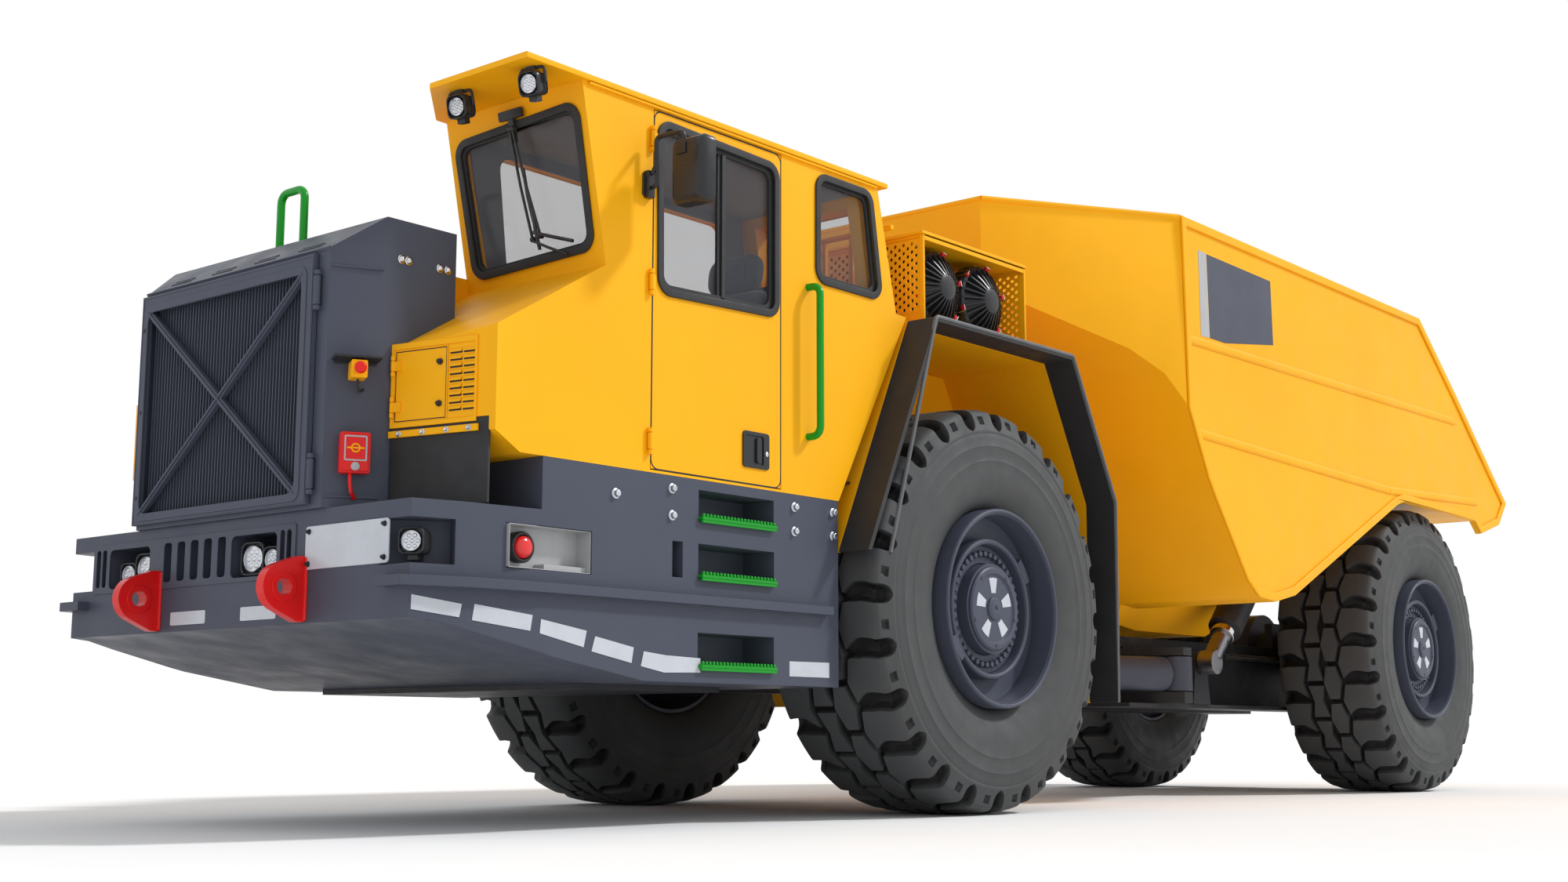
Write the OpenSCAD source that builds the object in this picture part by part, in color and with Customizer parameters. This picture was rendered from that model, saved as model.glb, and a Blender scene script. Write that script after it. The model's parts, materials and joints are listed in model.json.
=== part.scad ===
// Underground mining truck, articulated, with cab, tipping box and four wheels.
// +X points forward, +Y to the cab side, +Z up. Millimetres, at real size.
// The ground is z = 0 and the origin is midway between the truck's two ends.

/* [Overall] */
// Front axle to rear axle
wheelbase = 5680; // [5400:10:6000]
// Front axle back to the articulation hitch
hitch_back = 2100; // [2050:5:2150]
// Front axle forward to the tips of the tow lugs
front_overhang = 3784; // [3760:1:3810]
// Rear axle back to the tail of the box
rear_overhang = 1612; // [1500:1:1700]
// Width over the cab and the front frame
body_w = 2580; // [2540:5:2600]

/* [Wheels] */
// Tyre diameter over the lugs
tyre_d = 2075; // [2040:1:2090]
// Tyre width
tyre_w = 754; // [720:1:760]
// Distance between the middles of the left and right tyres
track = 2223; // [2210:1:2240]
// Lugs on each shoulder of a tyre
lug_count = 24; // [20:2:28]
// Height of a lug
lug_h = 58; // [45:1:65]
// Rim diameter under the tyre's bead
rim_d = 1016; // [960:1:1040]
// Radius of the wheel spindle
spindle_r = 95; // [80:1:110]
// Running clearance of pins and spindles in their bores
run_gap = 0.05; // [0.02:0.01:0.1]

/* [Front frame] */
// Front axle forward to the bumper's face
bumper_x = 3583; // [3560:1:3600]
// Width of the bumper's face
bumper_w = 2380; // [2300:5:2450]
// Height of the bumper's ledge
ledge_z = 1283; // [1260:1:1300]
// Height of the bumper's lower edge
bumper_z = 830; // [800:1:860]
// Height of the upper frame that carries the cab
base_z = 1499; // [1480:1:1520]
// Height of the side sill's lower edge
sill_z = 617; // [590:1:640]
// Front axle forward to the rear end of the front frame
frame_rear_x = 1095; // [1085:1:1110]
// Front axle forward to the front end of the upper frame
base_front_x = 3005; // [2950:5:3030]
// Depth of the steps and lamp recesses
recess_depth = 190; // [150:5:230]

/* [Cowl] */
// Front axle forward to the cowl's face
cowl_x = 3605; // [3590:1:3640]
// Front axle forward to the rear of the cowl
cowl_rear_x = 3040; // [3000:5:3100]
// Front axle forward to the cowl's ridge
ridge_x = 3406; // [3350:1:3450]
// Width of the cowl
cowl_w = 1538; // [1500:2:1560]
// Width of the cowl's face
face_w = 1320; // [1280:2:1360]
// Height of the cowl
cowl_z = 2493; // [2450:1:2520]
// Height of the cowl's front lip
lip_z = 2344; // [2300:1:2380]
// Plate thickness of the cowl and the hood
skin = 30; // [20:1:40]

/* [Cab] */
// Height of the cab under its roof plate
cab_z = 3122; // [3100:1:3140]
// Thickness of the cab's walls
wall = 50; // [40:1:60]
// Distance from the middle of the truck to the cab's inner side
cab_inner_y = 420; // [400:5:440]
// Thickness of the roof plate
roof_t = 25; // [20:1:40]
// Thickness of the window panes
pane_t = 10; // [8:1:14]

/* [Front fenders] */
// Distance from the middle of the truck to the fender's outer edge
fender_y = 1470; // [1440:1:1480]
// Thickness of the fender sheet
fender_t = 25; // [20:1:30]

/* [Rear frame] */
// Distance from the middle to the outer face of a rear frame rail
rail_y = 400; // [380:1:410]
// Thickness of a rail
rail_t = 60; // [50:1:70]
// Height of the rail's lower edge
rail_z0 = 610; // [600:1:630]
// Height of the rail's upper edge
rail_z1 = 1060; // [1040:1:1070]
// Height of the box's pivot
bed_pivot_z = 1420; // [1400:1:1440]
// Rear axle back to the box's pivot
bed_pivot_back = 640; // [620:1:660]
// Radius of the box's pivot pins
bed_pin_r = 60; // [50:1:70]

/* [Dump box] */
// Width of the box over its side plates
box_w = 3100; // [3080:5:3120]
// Height of the box's upper edge
box_z = 3508; // [3480:1:3530]
// Thickness of the box's plates
plate = 36; // [30:1:36]

/* [Cylinders] */
// Radius of a steering cylinder's barrel
steer_r = 110; // [95:1:115]
// Radius of a steering cylinder's rod
steer_rod_r = 45; // [35:1:50]
// Radius of a hoist cylinder's barrel
hoist_r = 115; // [100:1:120]
// Height of the steering cylinders
steer_z = 800; // [795:1:805]

/* [Hidden] */

$fn = 48;
eps = 0.01;
far = 9000;
clear = 6;

yellow = [1.00, 0.70, 0.08];
slate = [0.24, 0.26, 0.32];
black = [0.10, 0.10, 0.11];
green = [0.08, 0.50, 0.14];
red = [0.80, 0.08, 0.08];
steel = [0.75, 0.76, 0.78];
glass = [0.55, 0.60, 0.66, 0.4];

overall_l = front_overhang + wheelbase + rear_overhang;
front_x = overall_l / 2 - front_overhang;
rear_x = front_x - wheelbase;
hitch_x = front_x - hitch_back;
tyre_r = tyre_d / 2;
axle_z = tyre_r;
side_y = body_w / 2;
box_y = box_w / 2;

// ---- helpers ----

module slab(points, y0, y1) {
    translate([0, y1, 0]) rotate([90, 0, 0]) linear_extrude(y1 - y0) polygon(points);
}

module plan(points, z0, z1) {
    translate([0, 0, z0]) linear_extrude(z1 - z0) polygon(points);
}

module block(low, high) {
    translate(low) cube(high - low);
}

module both_sides() {
    children();
    mirror([0, 1, 0]) children();
}

module y_rod(x, z, r, y0, y1) {
    translate([x, y0, z]) rotate([-90, 0, 0]) cylinder(r = r, h = y1 - y0);
}

module z_rod(x, y, r, z0, z1) {
    translate([x, y, z0]) cylinder(r = r, h = z1 - z0);
}

// A round bar from a to b
module bar(a, b, r) {
    d = b - a;
    translate(a) rotate([0, acos(d.z / norm(d)), atan2(d.y, d.x)]) cylinder(r = r, h = norm(d));
}

// A tube rail through points, with a ball at each bend
module rail(points, r) {
    for (i = [0 : len(points) - 2]) bar(points[i], points[i + 1], r);
    for (i = [1 : len(points) - 2]) translate(points[i]) sphere(r = r);
}

// A door's hinge: the pin with its two lugs on the body, and the knuckle on the door.
// The pin stands along z at the origin, and the body's face lies at x = -off.
module hinge_body(h, r, off) {
    z_rod(0, 0, r * 0.55, -h - 6, h + 6);
    for (z = [-h - 22, h + 4]) {
        z_rod(0, 0, r, z, z + 18);
        block([-off - 1, -r * 0.7, z], [0, r * 0.7, z + 18]);
    }
}

// leaf: how far the leaf reaches along -y to the door, whose face lies at x = -off + 1
module hinge_door(h, r, off, leaf) {
    difference() {
        union() {
            z_rod(0, 0, r, -h, h);
            block([-off + 1, -leaf, -h], [-off + 9, 0, h]);
            block([-off - 4, -leaf, -h], [-off + 9, -r - 8, h]);
        }
        z_rod(0, 0, r * 0.55 + run_gap, -h - 1, h + 1);
    }
}

function mirror_y(points) = [for (i = [len(points) - 1 : -1 : 0]) [points[i].x, -points[i].y]];

module at_front() { translate([front_x, 0, 0]) children(); }
module at_rear() { translate([rear_x, 0, 0]) children(); }
module at_hitch() { translate([hitch_x, 0, 0]) children(); }

// ---- front frame ----

frame_plan_half = [
    [frame_rear_x, side_y], [base_front_x, side_y], [3340, side_y - 40], [bumper_x, bumper_w / 2]];

frame_profile = [
    [frame_rear_x, ledge_z], [frame_rear_x, sill_z], [2410, sill_z], [2930, sill_z + 83],
    [3480, bumper_z - 8], [bumper_x, bumper_z], [bumper_x, ledge_z]];

// Recesses in the bumper's face: y of the middle, z of the middle, width, height
face_recesses = [
    [-955, 1127, 94, 184], [-728, 1122, 330, 184],
    [-430, 1132, 82, 192], [-329, 1132, 82, 192], [-230, 1132, 82, 192],
    [-132, 1132, 82, 192], [-30, 1132, 82, 192],
    [197, 1122, 326, 184], [414, 1127, 84, 170]];

// Recesses in the cab side of the frame: x0, x1, z0, z1, depth
side_recesses = [
    [1570, 2078, 1322, 1454, recess_depth], [1568, 2078, 1069, 1218, recess_depth],
    [1568, 2078, 681, 832, recess_depth], [2178, 2243, 1063, 1218, 120],
    [2724, 3172, 1040, 1217, 90]];

module corner_recess() {
    translate([3545, 1205, 1036]) rotate([0, 0, -30]) translate([-140, -150, 0]) cube([400, 300, 176]);
}

module strake() {
    edge = [[frame_rear_x + 90, side_y], [base_front_x, side_y], [3340, side_y - 40],
            [bumper_x, bumper_w / 2], [bumper_x, 1050]];
    out = 55;
    plan(concat(edge, [[bumper_x + out, 1050], [bumper_x + out, bumper_w / 2 + 15],
        [3360, side_y + 10], [base_front_x, side_y + out - 10], [frame_rear_x + 90, side_y + out - 10]]),
        949, 989);
}

module front_frame() {
    color(slate) at_front() difference() {
        union() {
            intersection() {
                slab(frame_profile, -side_y, side_y);
                plan(concat(frame_plan_half, mirror_y(frame_plan_half)), 0, base_z);
            }
            both_sides() {
                block([frame_rear_x, cab_inner_y, ledge_z - eps], [base_front_x, side_y, base_z]);
                strake();
            }
        }
        for (r = face_recesses)
            block([bumper_x - recess_depth, r[0] - r[2] / 2, r[1] - r[3] / 2],
                  [bumper_x + 10, r[0] + r[2] / 2, r[1] + r[3] / 2]);
        for (r = side_recesses) block([r[0], side_y - r[4], r[2]], [r[1], side_y + 10, r[3]]);
        both_sides() corner_recess();
        // engine bay between the two sides of the upper frame
        block([frame_rear_x - 1, -cab_inner_y, ledge_z - 60], [base_front_x - 60, cab_inner_y, base_z + 1]);
    }
}

lug_reach = front_overhang - bumper_x;

module tow_lugs() {
    color(red) at_front() for (y = [-500, 530])
        translate([0, y, 0]) difference() {
            slab([[bumper_x, 836], [bumper_x + 40, 836], [bumper_x + 150, 900], [bumper_x + lug_reach, 960],
                  [bumper_x + lug_reach, 1000], [bumper_x + 150, 1055], [bumper_x + 40, 1091],
                  [bumper_x, 1091]], -25, 25);
            y_rod(bumper_x + 105, 970, 34, -30, 30);
        }
}

module step_treads() {
    color(green) at_front() for (i = [0 : 2]) {
        r = side_recesses[i];
        block([r[0], side_y - r[4], r[2]], [r[1], side_y + 25, r[2] + 14]);
    }
}

// ---- cowl, radiator and hood ----

cowl_half = [[cowl_rear_x, cowl_w / 2], [ridge_x, cowl_w / 2], [cowl_x, face_w / 2]];
door_t = 24;
radiator_open = [-640, 545, 1330, 2265];

module cowl() {
    color(slate) at_front() difference() {
        intersection() {
            plan(concat(cowl_half, mirror_y(cowl_half)), ledge_z, cowl_z);
            slab([[cowl_rear_x, ledge_z], [cowl_x, ledge_z], [cowl_x, lip_z], [ridge_x, cowl_z],
                  [cowl_rear_x, cowl_z]], -side_y, side_y);
        }
        block([cowl_rear_x - 1, -cowl_w / 2 + skin, ledge_z - 1],
              [ridge_x - 20, cowl_w / 2 - skin, cowl_z - skin]);
        block([ridge_x - 30, radiator_open[0], radiator_open[2]],
              [cowl_x + 1, radiator_open[1], radiator_open[3]]);
    }
    color(slate) at_front() for (z = door_hinge_z)
        translate([cowl_x + door_pin[0], door_pin[1], z]) hinge_body(60, 14, door_pin[0]);
}

module radiator() {
    color(black) at_front() difference() {
        block([ridge_x + 20, radiator_open[0], radiator_open[2]],
              [cowl_x - 40, radiator_open[1], radiator_open[3]]);
        for (y = [radiator_open[0] + 15 : 26 : radiator_open[1] - 15])
            block([cowl_x - 60, y, radiator_open[2] + 8], [cowl_x, y + 13, radiator_open[3] - 8]);
    }
}

door_y0 = -660;
door_y1 = 590;
door_z0 = 1300;
door_z1 = 2325;
hatch = [-612, 517, 1345, 2252];
// Hinge pin: x from the cowl's face, y
door_pin = [17, 606];
door_hinge_z = [1420, 2170];

module radiator_door() {
    color(slate) at_front() translate([cowl_x + 1, 0, 0]) {
        difference() {
            block([0, door_y0, door_z0], [door_t, door_y1, door_z1]);
            block([-1, hatch[0], hatch[2]], [door_t + 1, hatch[1], hatch[3]]);
        }
        intersection() {
            block([0, hatch[0] - 20, hatch[2] - 20], [door_t, hatch[1] + 20, hatch[3] + 20]);
            for (s = [-1, 1])
                translate([door_t / 2, (hatch[0] + hatch[1]) / 2, (hatch[2] + hatch[3]) / 2])
                    rotate([s * atan2(hatch[3] - hatch[2], hatch[1] - hatch[0]), 0, 0])
                        cube([door_t, 1600, 30], center = true);
        }
        for (z = door_hinge_z) translate([door_pin[0] - 1, door_pin[1], z]) difference() {
            union() {
                z_rod(0, 0, 14, -60, 60);
                block([-14, -20, -60], [6, 0, 60]);
            }
            z_rod(0, 0, 14 * 0.55 + run_gap, -61, 61);
        }
    }
}

module engine_block() {
    color(slate) at_front() block([1400, -cab_inner_y + 20, ledge_z - 60], [2800, cab_inner_y - 70, 2150]);
}

hood_z = 2420;
hood_rear_x = -450;

function hood_plan(t) = [
    [hood_rear_x + t, -cab_inner_y + t], [frame_rear_x + t, -cab_inner_y + t],
    [frame_rear_x + t, -cowl_w / 2 + t], [cowl_rear_x - t, -cowl_w / 2 + t],
    [cowl_rear_x - t, cab_inner_y - t], [hood_rear_x + t, cab_inner_y - t]];

module engine_hood() {
    color(yellow) at_front() {
        difference() {
            plan(hood_plan(0), base_z, hood_z);
            plan(hood_plan(skin), base_z - 1, hood_z - skin);
        }
        // tank deck on the far side
        slab([[frame_rear_x, base_z], [base_front_x, base_z], [3255, 1596], [3255, 1960], [2668, 2200],
              [700, 2200], [frame_rear_x - 6, base_z + 1]], -side_y, -cowl_w / 2);
    }
}

// ---- cab ----

// Front screen: bottom and top of its plane
screen_low = [2668, 2350];
screen_top = [2824, cab_z];
// Nose beside the cowl: its front runs from nose_in at the cowl to nose_out at the side
nose_in = 3366;
nose_out = 3260;
nose_low = 1596;
deck_slope = 0.5912;

cab_profile = [
    [1089, base_z], [3129, base_z], [nose_in, nose_low + 40], [nose_in, screen_low.y - deck_slope * (nose_in - screen_low.x)],
    screen_low, screen_top,
    [766, cab_z], [615, 2495], [530, 2490]];

// Windows on the side: corners as x, z
door_box = [1519, 2386, 1512, 3105];
door_pane = [[1560, 2330], [2335, 2300], [2345, 3050], [1560, 3030]];
quarter_pane = [[755, 2555], [1245, 2555], [1243, 3065], [835, 3065]];

module rounded(points, r, extra = 0) {
    offset(r = r + extra) offset(delta = -r) polygon(points);
}

module side_window(points, y0, y1, extra = 0) {
    translate([0, y1, 0]) rotate([90, 0, 0]) linear_extrude(y1 - y0) rounded(points, 60, extra);
}

// Places its children on the front screen's plane: x across (to the cab side), y up the screen
screen_tilt = atan2(screen_top.x - screen_low.x, screen_top.y - screen_low.y);
module on_screen() {
    translate([screen_low.x, 0, screen_low.y]) rotate([0, screen_tilt, 0])
        rotate([90, 0, 90]) children();
}
screen_pane = [[495, 70], [1225, 90], [1235, 690], [480, 660]];

module screen_shape(t0, t1, extra = 0) {
    on_screen() translate([0, 0, t0]) linear_extrude(t1 - t0) rounded(screen_pane, 60, extra);
}

inner_side_panes = [
    [[1750, 2330], [2480, 2330], [2560, 3010], [1750, 3010]],
    [[1000, 2330], [1600, 2330], [1600, 3010], [1000, 3010]]];
rear_pane = [560, 1170, 2560, 3010];

module cab_shell() {
    color(yellow) at_front() difference() {
        union() {
            intersection() {
                slab(cab_profile, cab_inner_y, side_y);
                plan([[0, 0], [nose_in + 30, 0], [nose_in, cowl_w / 2], [nose_out, side_y], [0, side_y]],
                    0, far);
            }
        }
        // cabin
        slab([[880, 1600], [2600, 1600], [2600, 2350], [screen_top.x - 60, cab_z - wall],
              [870, cab_z - wall], [760, 2500], [800, 2300]], cab_inner_y + wall, side_y - wall);
        // doorway
        block([door_box[0] - 2, side_y - wall - 1, door_box[2] - 2],
              [door_box[1] + 2, side_y + 1, door_box[3] + 2]);
        side_window(quarter_pane, side_y - wall - 1, side_y + 1);
        screen_shape(-200, 60);
        for (p = inner_side_panes) side_window(p, cab_inner_y - 1, cab_inner_y + wall + 1);
        block([500, rear_pane[0], rear_pane[2]], [1000, rear_pane[1], rear_pane[3]]);
        // hollow for the service cabinet door
        cabinet_cut();
        nose_flap();
        // clear of the cowl
        block([cowl_rear_x - clear, 0, 0], [far, cowl_w / 2 + 1, far]);
    }
    color(yellow) at_front() {
        for (z = cab_hinge_z) at_cab_pin(z) hinge_body(35, 12, cab_pin[1]);
        for (z = cabinet_hinge_z) on_nose() translate([cabinet_pin[0], cabinet_pin[1], z])
            mirror([0, 1, 0]) hinge_body(20, 9, cabinet_pin[0]);
    }
}

// Service cabinet in the nose, facing forward
// y from the inner edge of the front, z: where the door is
cabinet = [25, 285, 1640, 1930];
cabinet_t = 22;
// Its hinge pin: x from the face, y from the cowl
cabinet_pin = [10, 18];
cabinet_hinge_z = [1700, 1870];

// Places its children on the cabinet's front: x out of the face, y outwards from the cowl
nose_a = atan2(nose_in - nose_out, side_y - cowl_w / 2);
module on_nose() {
    translate([nose_in, cowl_w / 2, 0]) rotate([0, 0, nose_a]) children();
}

module cabinet_cut() {
    on_nose() block([-cabinet_t - 60, cabinet[0], cabinet[2]], [60, cabinet[1], cabinet[3]]);
}

module cabinet_door() {
    color(yellow) at_front() on_nose() {
        block([-cabinet_t, cabinet[0] + 4, cabinet[2] + 4], [0, cabinet[1] - 4, cabinet[3] - 4]);
        for (z = cabinet_hinge_z) translate([cabinet_pin[0], cabinet_pin[1], z])
            mirror([0, 1, 0]) hinge_door(20, 9, cabinet_pin[0], 40);
    }
}

module cab_roof() {
    color(yellow) at_front()
        plan([[700, cab_inner_y - 30], [2860, cab_inner_y - 30], [3155, 700], [3155, side_y + 20],
              [700, side_y + 20]], cab_z, cab_z + roof_t);
}

// Hinges of the cab door: the pin's x beyond the doorway and y beyond the side
cab_pin = [14, 13];
cab_hinge_z = [1630, 2324, 2965];
module at_cab_pin(z) {
    translate([door_box[1] + cab_pin[0], side_y + cab_pin[1], z]) rotate([0, 0, 90]) mirror([0, 1, 0])
        children();
}

module cab_door() {
    color(yellow) at_front() {
        difference() {
            block([door_box[0] + 4, side_y - wall, door_box[2] + 4],
                  [door_box[1] - 4, side_y, door_box[3] - 4]);
            side_window(door_pane, side_y - wall - 1, side_y + 1);
        }
        for (z = cab_hinge_z) at_cab_pin(z) hinge_door(35, 12, cab_pin[1], 30);
    }
}

module door_glass() {
    color(glass) at_front() side_window(door_pane, side_y - wall / 2 - pane_t, side_y - wall / 2, -0.5);
}

module seal_ring(points, y0, y1) {
    difference() {
        side_window(points, y0, y1, 22);
        side_window(points, y0 - 1, y1 + 1, -14);
    }
}

module door_seal() {
    color(black) at_front() seal_ring(door_pane, side_y, side_y + 12);
}

module window_seals() {
    color(black) at_front() {
        seal_ring(quarter_pane, side_y, side_y + 12);
        difference() {
            screen_shape(0.1, 14, 22);
            screen_shape(-1, 15, -14);
        }
    }
}

module cab_glass() {
    color(glass) at_front() {
        side_window(quarter_pane, side_y - wall / 2 - pane_t, side_y - wall / 2, -0.5);
        screen_shape(-25, -25 + pane_t, -0.5);
        for (p = inner_side_panes)
            side_window(p, cab_inner_y + 15, cab_inner_y + 15 + pane_t, -0.5);
        block([760, rear_pane[0] + 0.5, rear_pane[2] + 0.5],
              [760 + pane_t, rear_pane[1] - 0.5, rear_pane[3] - 0.5]);
    }
}

module seat() {
    color(black) at_front() translate([1350, 860, 1600]) {
        block([0, -220, 0], [420, 220, 300]);
        block([0, -250, 300], [520, 250, 440]);
        slab([[0, 440], [130, 440], [30, 1050], [-90, 1050]], -240, 240);
    }
}

module console() {
    color(slate) at_front() slab([[2380, 1600], [2598, 1600], [2598, 2300], [2480, 2300], [2380, 2150]],
        cab_inner_y + wall + 40, side_y - wall - 40);
}

// ---- trim on the front body ----

module nose_flap() {
    on_nose() block([-16, 6, ledge_z + 4], [0, 500, nose_low + 36]);
}

module mudflaps() {
    color(black) at_front() {
        nose_flap();
        both_sides() fender_sheet(side_y, fender_y);
    }
}

module lamp(r, depth) {
    rotate([0, -90, 0]) cylinder(r = r, h = depth);
}

module lamps() {
    color(steel) at_front() {
        for (l = [[-775, 1096, 52], [-639, 1116, 62], [153, 1113, 62], [289, 1102, 52]])
            translate([bumper_x - 60, l[0], l[1]]) lamp(l[2], recess_depth - 60);
        translate([3560, 1150, 1124]) lamp(58, 120);
        for (y = [785, 1235]) translate([3095, y, cab_z - 74]) {
            lamp(66, 90);
            block([-60, -20, 60], [-20, 20, 74]);
        }
    }
}

module side_mirror() {
    color(black) at_front() {
        block([2410, side_y, 2690], [2445, side_y + 60, 2800]);
        z_rod(2425, side_y + 40, 12, 2799, 2940);
        block([2413, side_y + 28, 2928], [2437, side_y + 232, 2950]);
        z_rod(2425, side_y + 220, 12, 2895, 2940);
        block([2345, side_y + 150, 2640], [2430, side_y + 330, 2900]);
    }
}

module grab_rails() {
    color(green) at_front() {
        rail([[1320, side_y, 2500], [1320, side_y + 75, 2500], [1320, side_y + 75, 1780],
              [1320, side_y, 1780]], 18);
        rail([[3330, 90, cowl_z], [3330, 90, 2760], [3330, -80, 2760], [3330, -80, cowl_z]], 18);
    }
}

module safety_boxes() {
    color(red) at_front() {
        on_chamfer() block([0, 60, 1420], [60, 180, 1585]);
        on_chamfer() block([0, 20, 1880], [70, 210, 1890]);
        on_chamfer() block([0, 90, 1800], [90, 150, 1872]);
    }
}

// The slanted side face of the cowl: x out of the face, y along it from its front edge
chamfer_a = atan2(ridge_x - cowl_x, cowl_w / 2 - face_w / 2);
module on_chamfer() {
    translate([cowl_x, face_w / 2, 0]) rotate([0, 0, -chamfer_a]) children();
}

// ---- fenders, air box ----

fender_top = 2475;
fender_in = 600;
fender_low = [1255, 580];
fender_line = [[frame_rear_x + 475, fender_low[0] - 1000], [515, fender_top], [-790, fender_top], [-1215, 1700],
    [-1187, fender_low[1] - 1000]];

module fender_sheet(y0, y1) {
    translate([0, y1, 0]) rotate([90, 0, 0]) linear_extrude(y1 - y0) difference() {
        polygon(fender_line);
        offset(delta = -fender_t) polygon(fender_line);
        polygon([[0, -far], [far, -far], [far, fender_low[0]], [0, fender_low[0]]]);
        polygon([[-far, -far], [1, -far], [1, fender_low[1]], [-far, fender_low[1]]]);
    }
}

module fenders() {
    color(yellow) at_front() both_sides() {
        fender_sheet(cab_inner_y, side_y);
        slab([[700, 1990], [515, fender_top - 1], [-790, fender_top - 1], [-1190, 1740], [-1190, 1560],
              [700, 1560]], fender_in - fender_t, fender_in);
    }
}

air = [-576, 383, 480, 1300, fender_top, 2960];
air_t = 12;
filter_r = 180;

module air_box() {
    color(yellow) at_front() difference() {
        block([air[0], air[2], air[4]], [air[1], air[3], air[5]]);
        block([air[0] + air_t, air[2] + air_t, air[4] + air_t], [air[1] - air_t, air[3] + 1, air[5] - air_t]);
    }
}

module air_filters() {
    color(black) at_front() for (x = [185, -270]) {
        y_rod(x, 2730, filter_r, air[2] + air_t, 1230);
        y_rod(x, 2730, filter_r - 70, 1229, 1275);
    }
}

// ---- front chassis and axle ----

hitch_pin_r = 70;

module front_chassis() {
    color(black) {
        at_front() difference() {
            union() {
                both_sides() block([-1500, 340, 640], [frame_rear_x, 420, base_z]);
                block([-1500, -640, 640], [-1420, 640, 1400]);
                block([300, -340, 1380], [frame_rear_x, 340, 1460]);
            }
            y_rod(0, axle_z, axle_r - 0.3, -700, 700);
        }
        at_front() block([1500, -900, sill_z - 25], [2400, 900, sill_z]);
        difference() {
            at_hitch() union() {
                block([-0, -200, 1180], [hitch_back - 1500, 200, 1260]);
                block([-0, -200, 680], [hitch_back - 1500, 200, 740]);
                z_rod(0, 0, 200, 1180, 1260);
                z_rod(0, 0, 200, 680, 740);
                both_sides() {
                    block([450, 150, 739], [hitch_back - 1500, 200, 1180]);
                    plan([[20, 199], [110, 430], [290, 430], [hitch_back - 1500, 260],
                          [hitch_back - 1500, 199]], 690, 740);
                    plan([[450, 199], [110, 430], [290, 430], [hitch_back - 1500, 260],
                          [hitch_back - 1500, 199]], 862, 912);
                }
            }
        }
        at_hitch() z_rod(0, 0, hitch_pin_r, 740 - eps, 1180 + eps);
    }
}

axle_r = 160;

module axle() {
    y_rod(0, axle_z, axle_r, -640, 640);
    y_rod(0, axle_z, 300, -190, 190);
    both_sides() {
        y_rod(0, axle_z, 210, 600, 660);
        y_rod(0, axle_z, spindle_r, 640, track / 2 + 40);
    }
}

module front_axle() { color(slate) at_front() axle(); }
module rear_axle() { color(slate) at_rear() axle(); }

// ---- rear frame ----

rail_front = -620;
rear_of_hitch = wheelbase - hitch_back;
hoist_low = [wheelbase - 3575, 890];
hoist_y = 800;

module rear_frame() {
    color(black) difference() {
        union() {
            at_hitch() {
                z_rod(0, 0, 150, 746, 1174);
                block([rail_front, -120, 746], [-60, 120, 1060]);
                both_sides() {
                    block([-rear_of_hitch - 900, rail_y - rail_t, rail_z0], [rail_front, rail_y, rail_z1]);
                    block([-rear_of_hitch - 800, rail_y - rail_t, rail_z0 - 25],
                          [rail_front + 100, 720, rail_z0]);
                    steer_bracket();
                }
                block([rail_front - 80, -rail_y + 1, rail_z0], [rail_front, rail_y - 1, rail_z1]);
                block([-1900, -rail_y + 1, rail_z0], [-1820, rail_y - 1, rail_z1]);
            }
            at_rear() {
                block([-900, -rail_y + 1, rail_z0], [-820, rail_y - 1, rail_z1]);
                both_sides() {
                    block([-300, rail_y - rail_t, rail_z1 - eps], [300, rail_y, 1250]);
                    difference() {
                        slab([[-bed_pivot_back - 160, rail_z1 - eps], [-bed_pivot_back + 200, rail_z1 - eps],
                              [-bed_pivot_back + 90, bed_pivot_z + 70], [-bed_pivot_back - 90, bed_pivot_z + 70]],
                              rail_y - rail_t, rail_y);
                    }
                    y_rod(-bed_pivot_back, bed_pivot_z, bed_pin_r, rail_y - eps, rail_y + 90);
                    // hoist foot
                    slab([[hoist_low.x - 120, rail_z0 - eps], [hoist_low.x + 120, rail_z0 - eps],
                          [hoist_low.x + 70, hoist_low.y + 60], [hoist_low.x - 70, hoist_low.y + 60]],
                          hoist_y - 110, hoist_y - 66);
                }
            }
        }
        at_hitch() z_rod(0, 0, hitch_pin_r + run_gap, 700, 1200);
        at_rear() y_rod(0, axle_z, axle_r - 0.3, -700, 700);
    }
}

// Steering cylinders: rear pin and front eye, seen from the hitch
steer_rear = [-1010, 800];
steer_front = [200, 360];
steer_len = norm(steer_front - steer_rear);
steer_a = atan2(steer_front.y - steer_rear.y, steer_front.x - steer_rear.x);
steer_pin_r = 45;

module steer_bracket() {
    for (z = [[steer_z - 190, steer_z - 118], [steer_z + 118, steer_z + 170]])
        plan([[steer_rear.x - 130, rail_y - 1], [steer_rear.x - 130, steer_rear.y + 20],
              [steer_rear.x - 40, steer_rear.y + 90], [steer_rear.x + 70, steer_rear.y + 90],
              [steer_rear.x + 110, steer_rear.y], [steer_rear.x + 200, rail_y - 1]], z[0], z[1]);
    z_rod(steer_rear.x, steer_rear.y, steer_pin_r, steer_z - 119, steer_z + 119);
}

module steer_barrel(side) {
    mirror([0, side > 0 ? 0 : 1, 0]) at_hitch() translate([steer_rear.x, steer_rear.y, steer_z])
        rotate([0, 0, steer_a]) difference() {
            union() {
                cylinder(r = 100, h = 220, center = true);
                translate([60, 0, 0]) rotate([0, 90, 0]) cylinder(r = 60, h = 80);
                translate([130, 0, 0]) rotate([0, 90, 0]) cylinder(r = steer_r, h = 670);
            }
            cylinder(r = steer_pin_r + run_gap, h = 300, center = true);
            translate([160, 0, 0]) rotate([0, 90, 0]) cylinder(r = steer_rod_r + run_gap, h = 700);
        }
}

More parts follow.
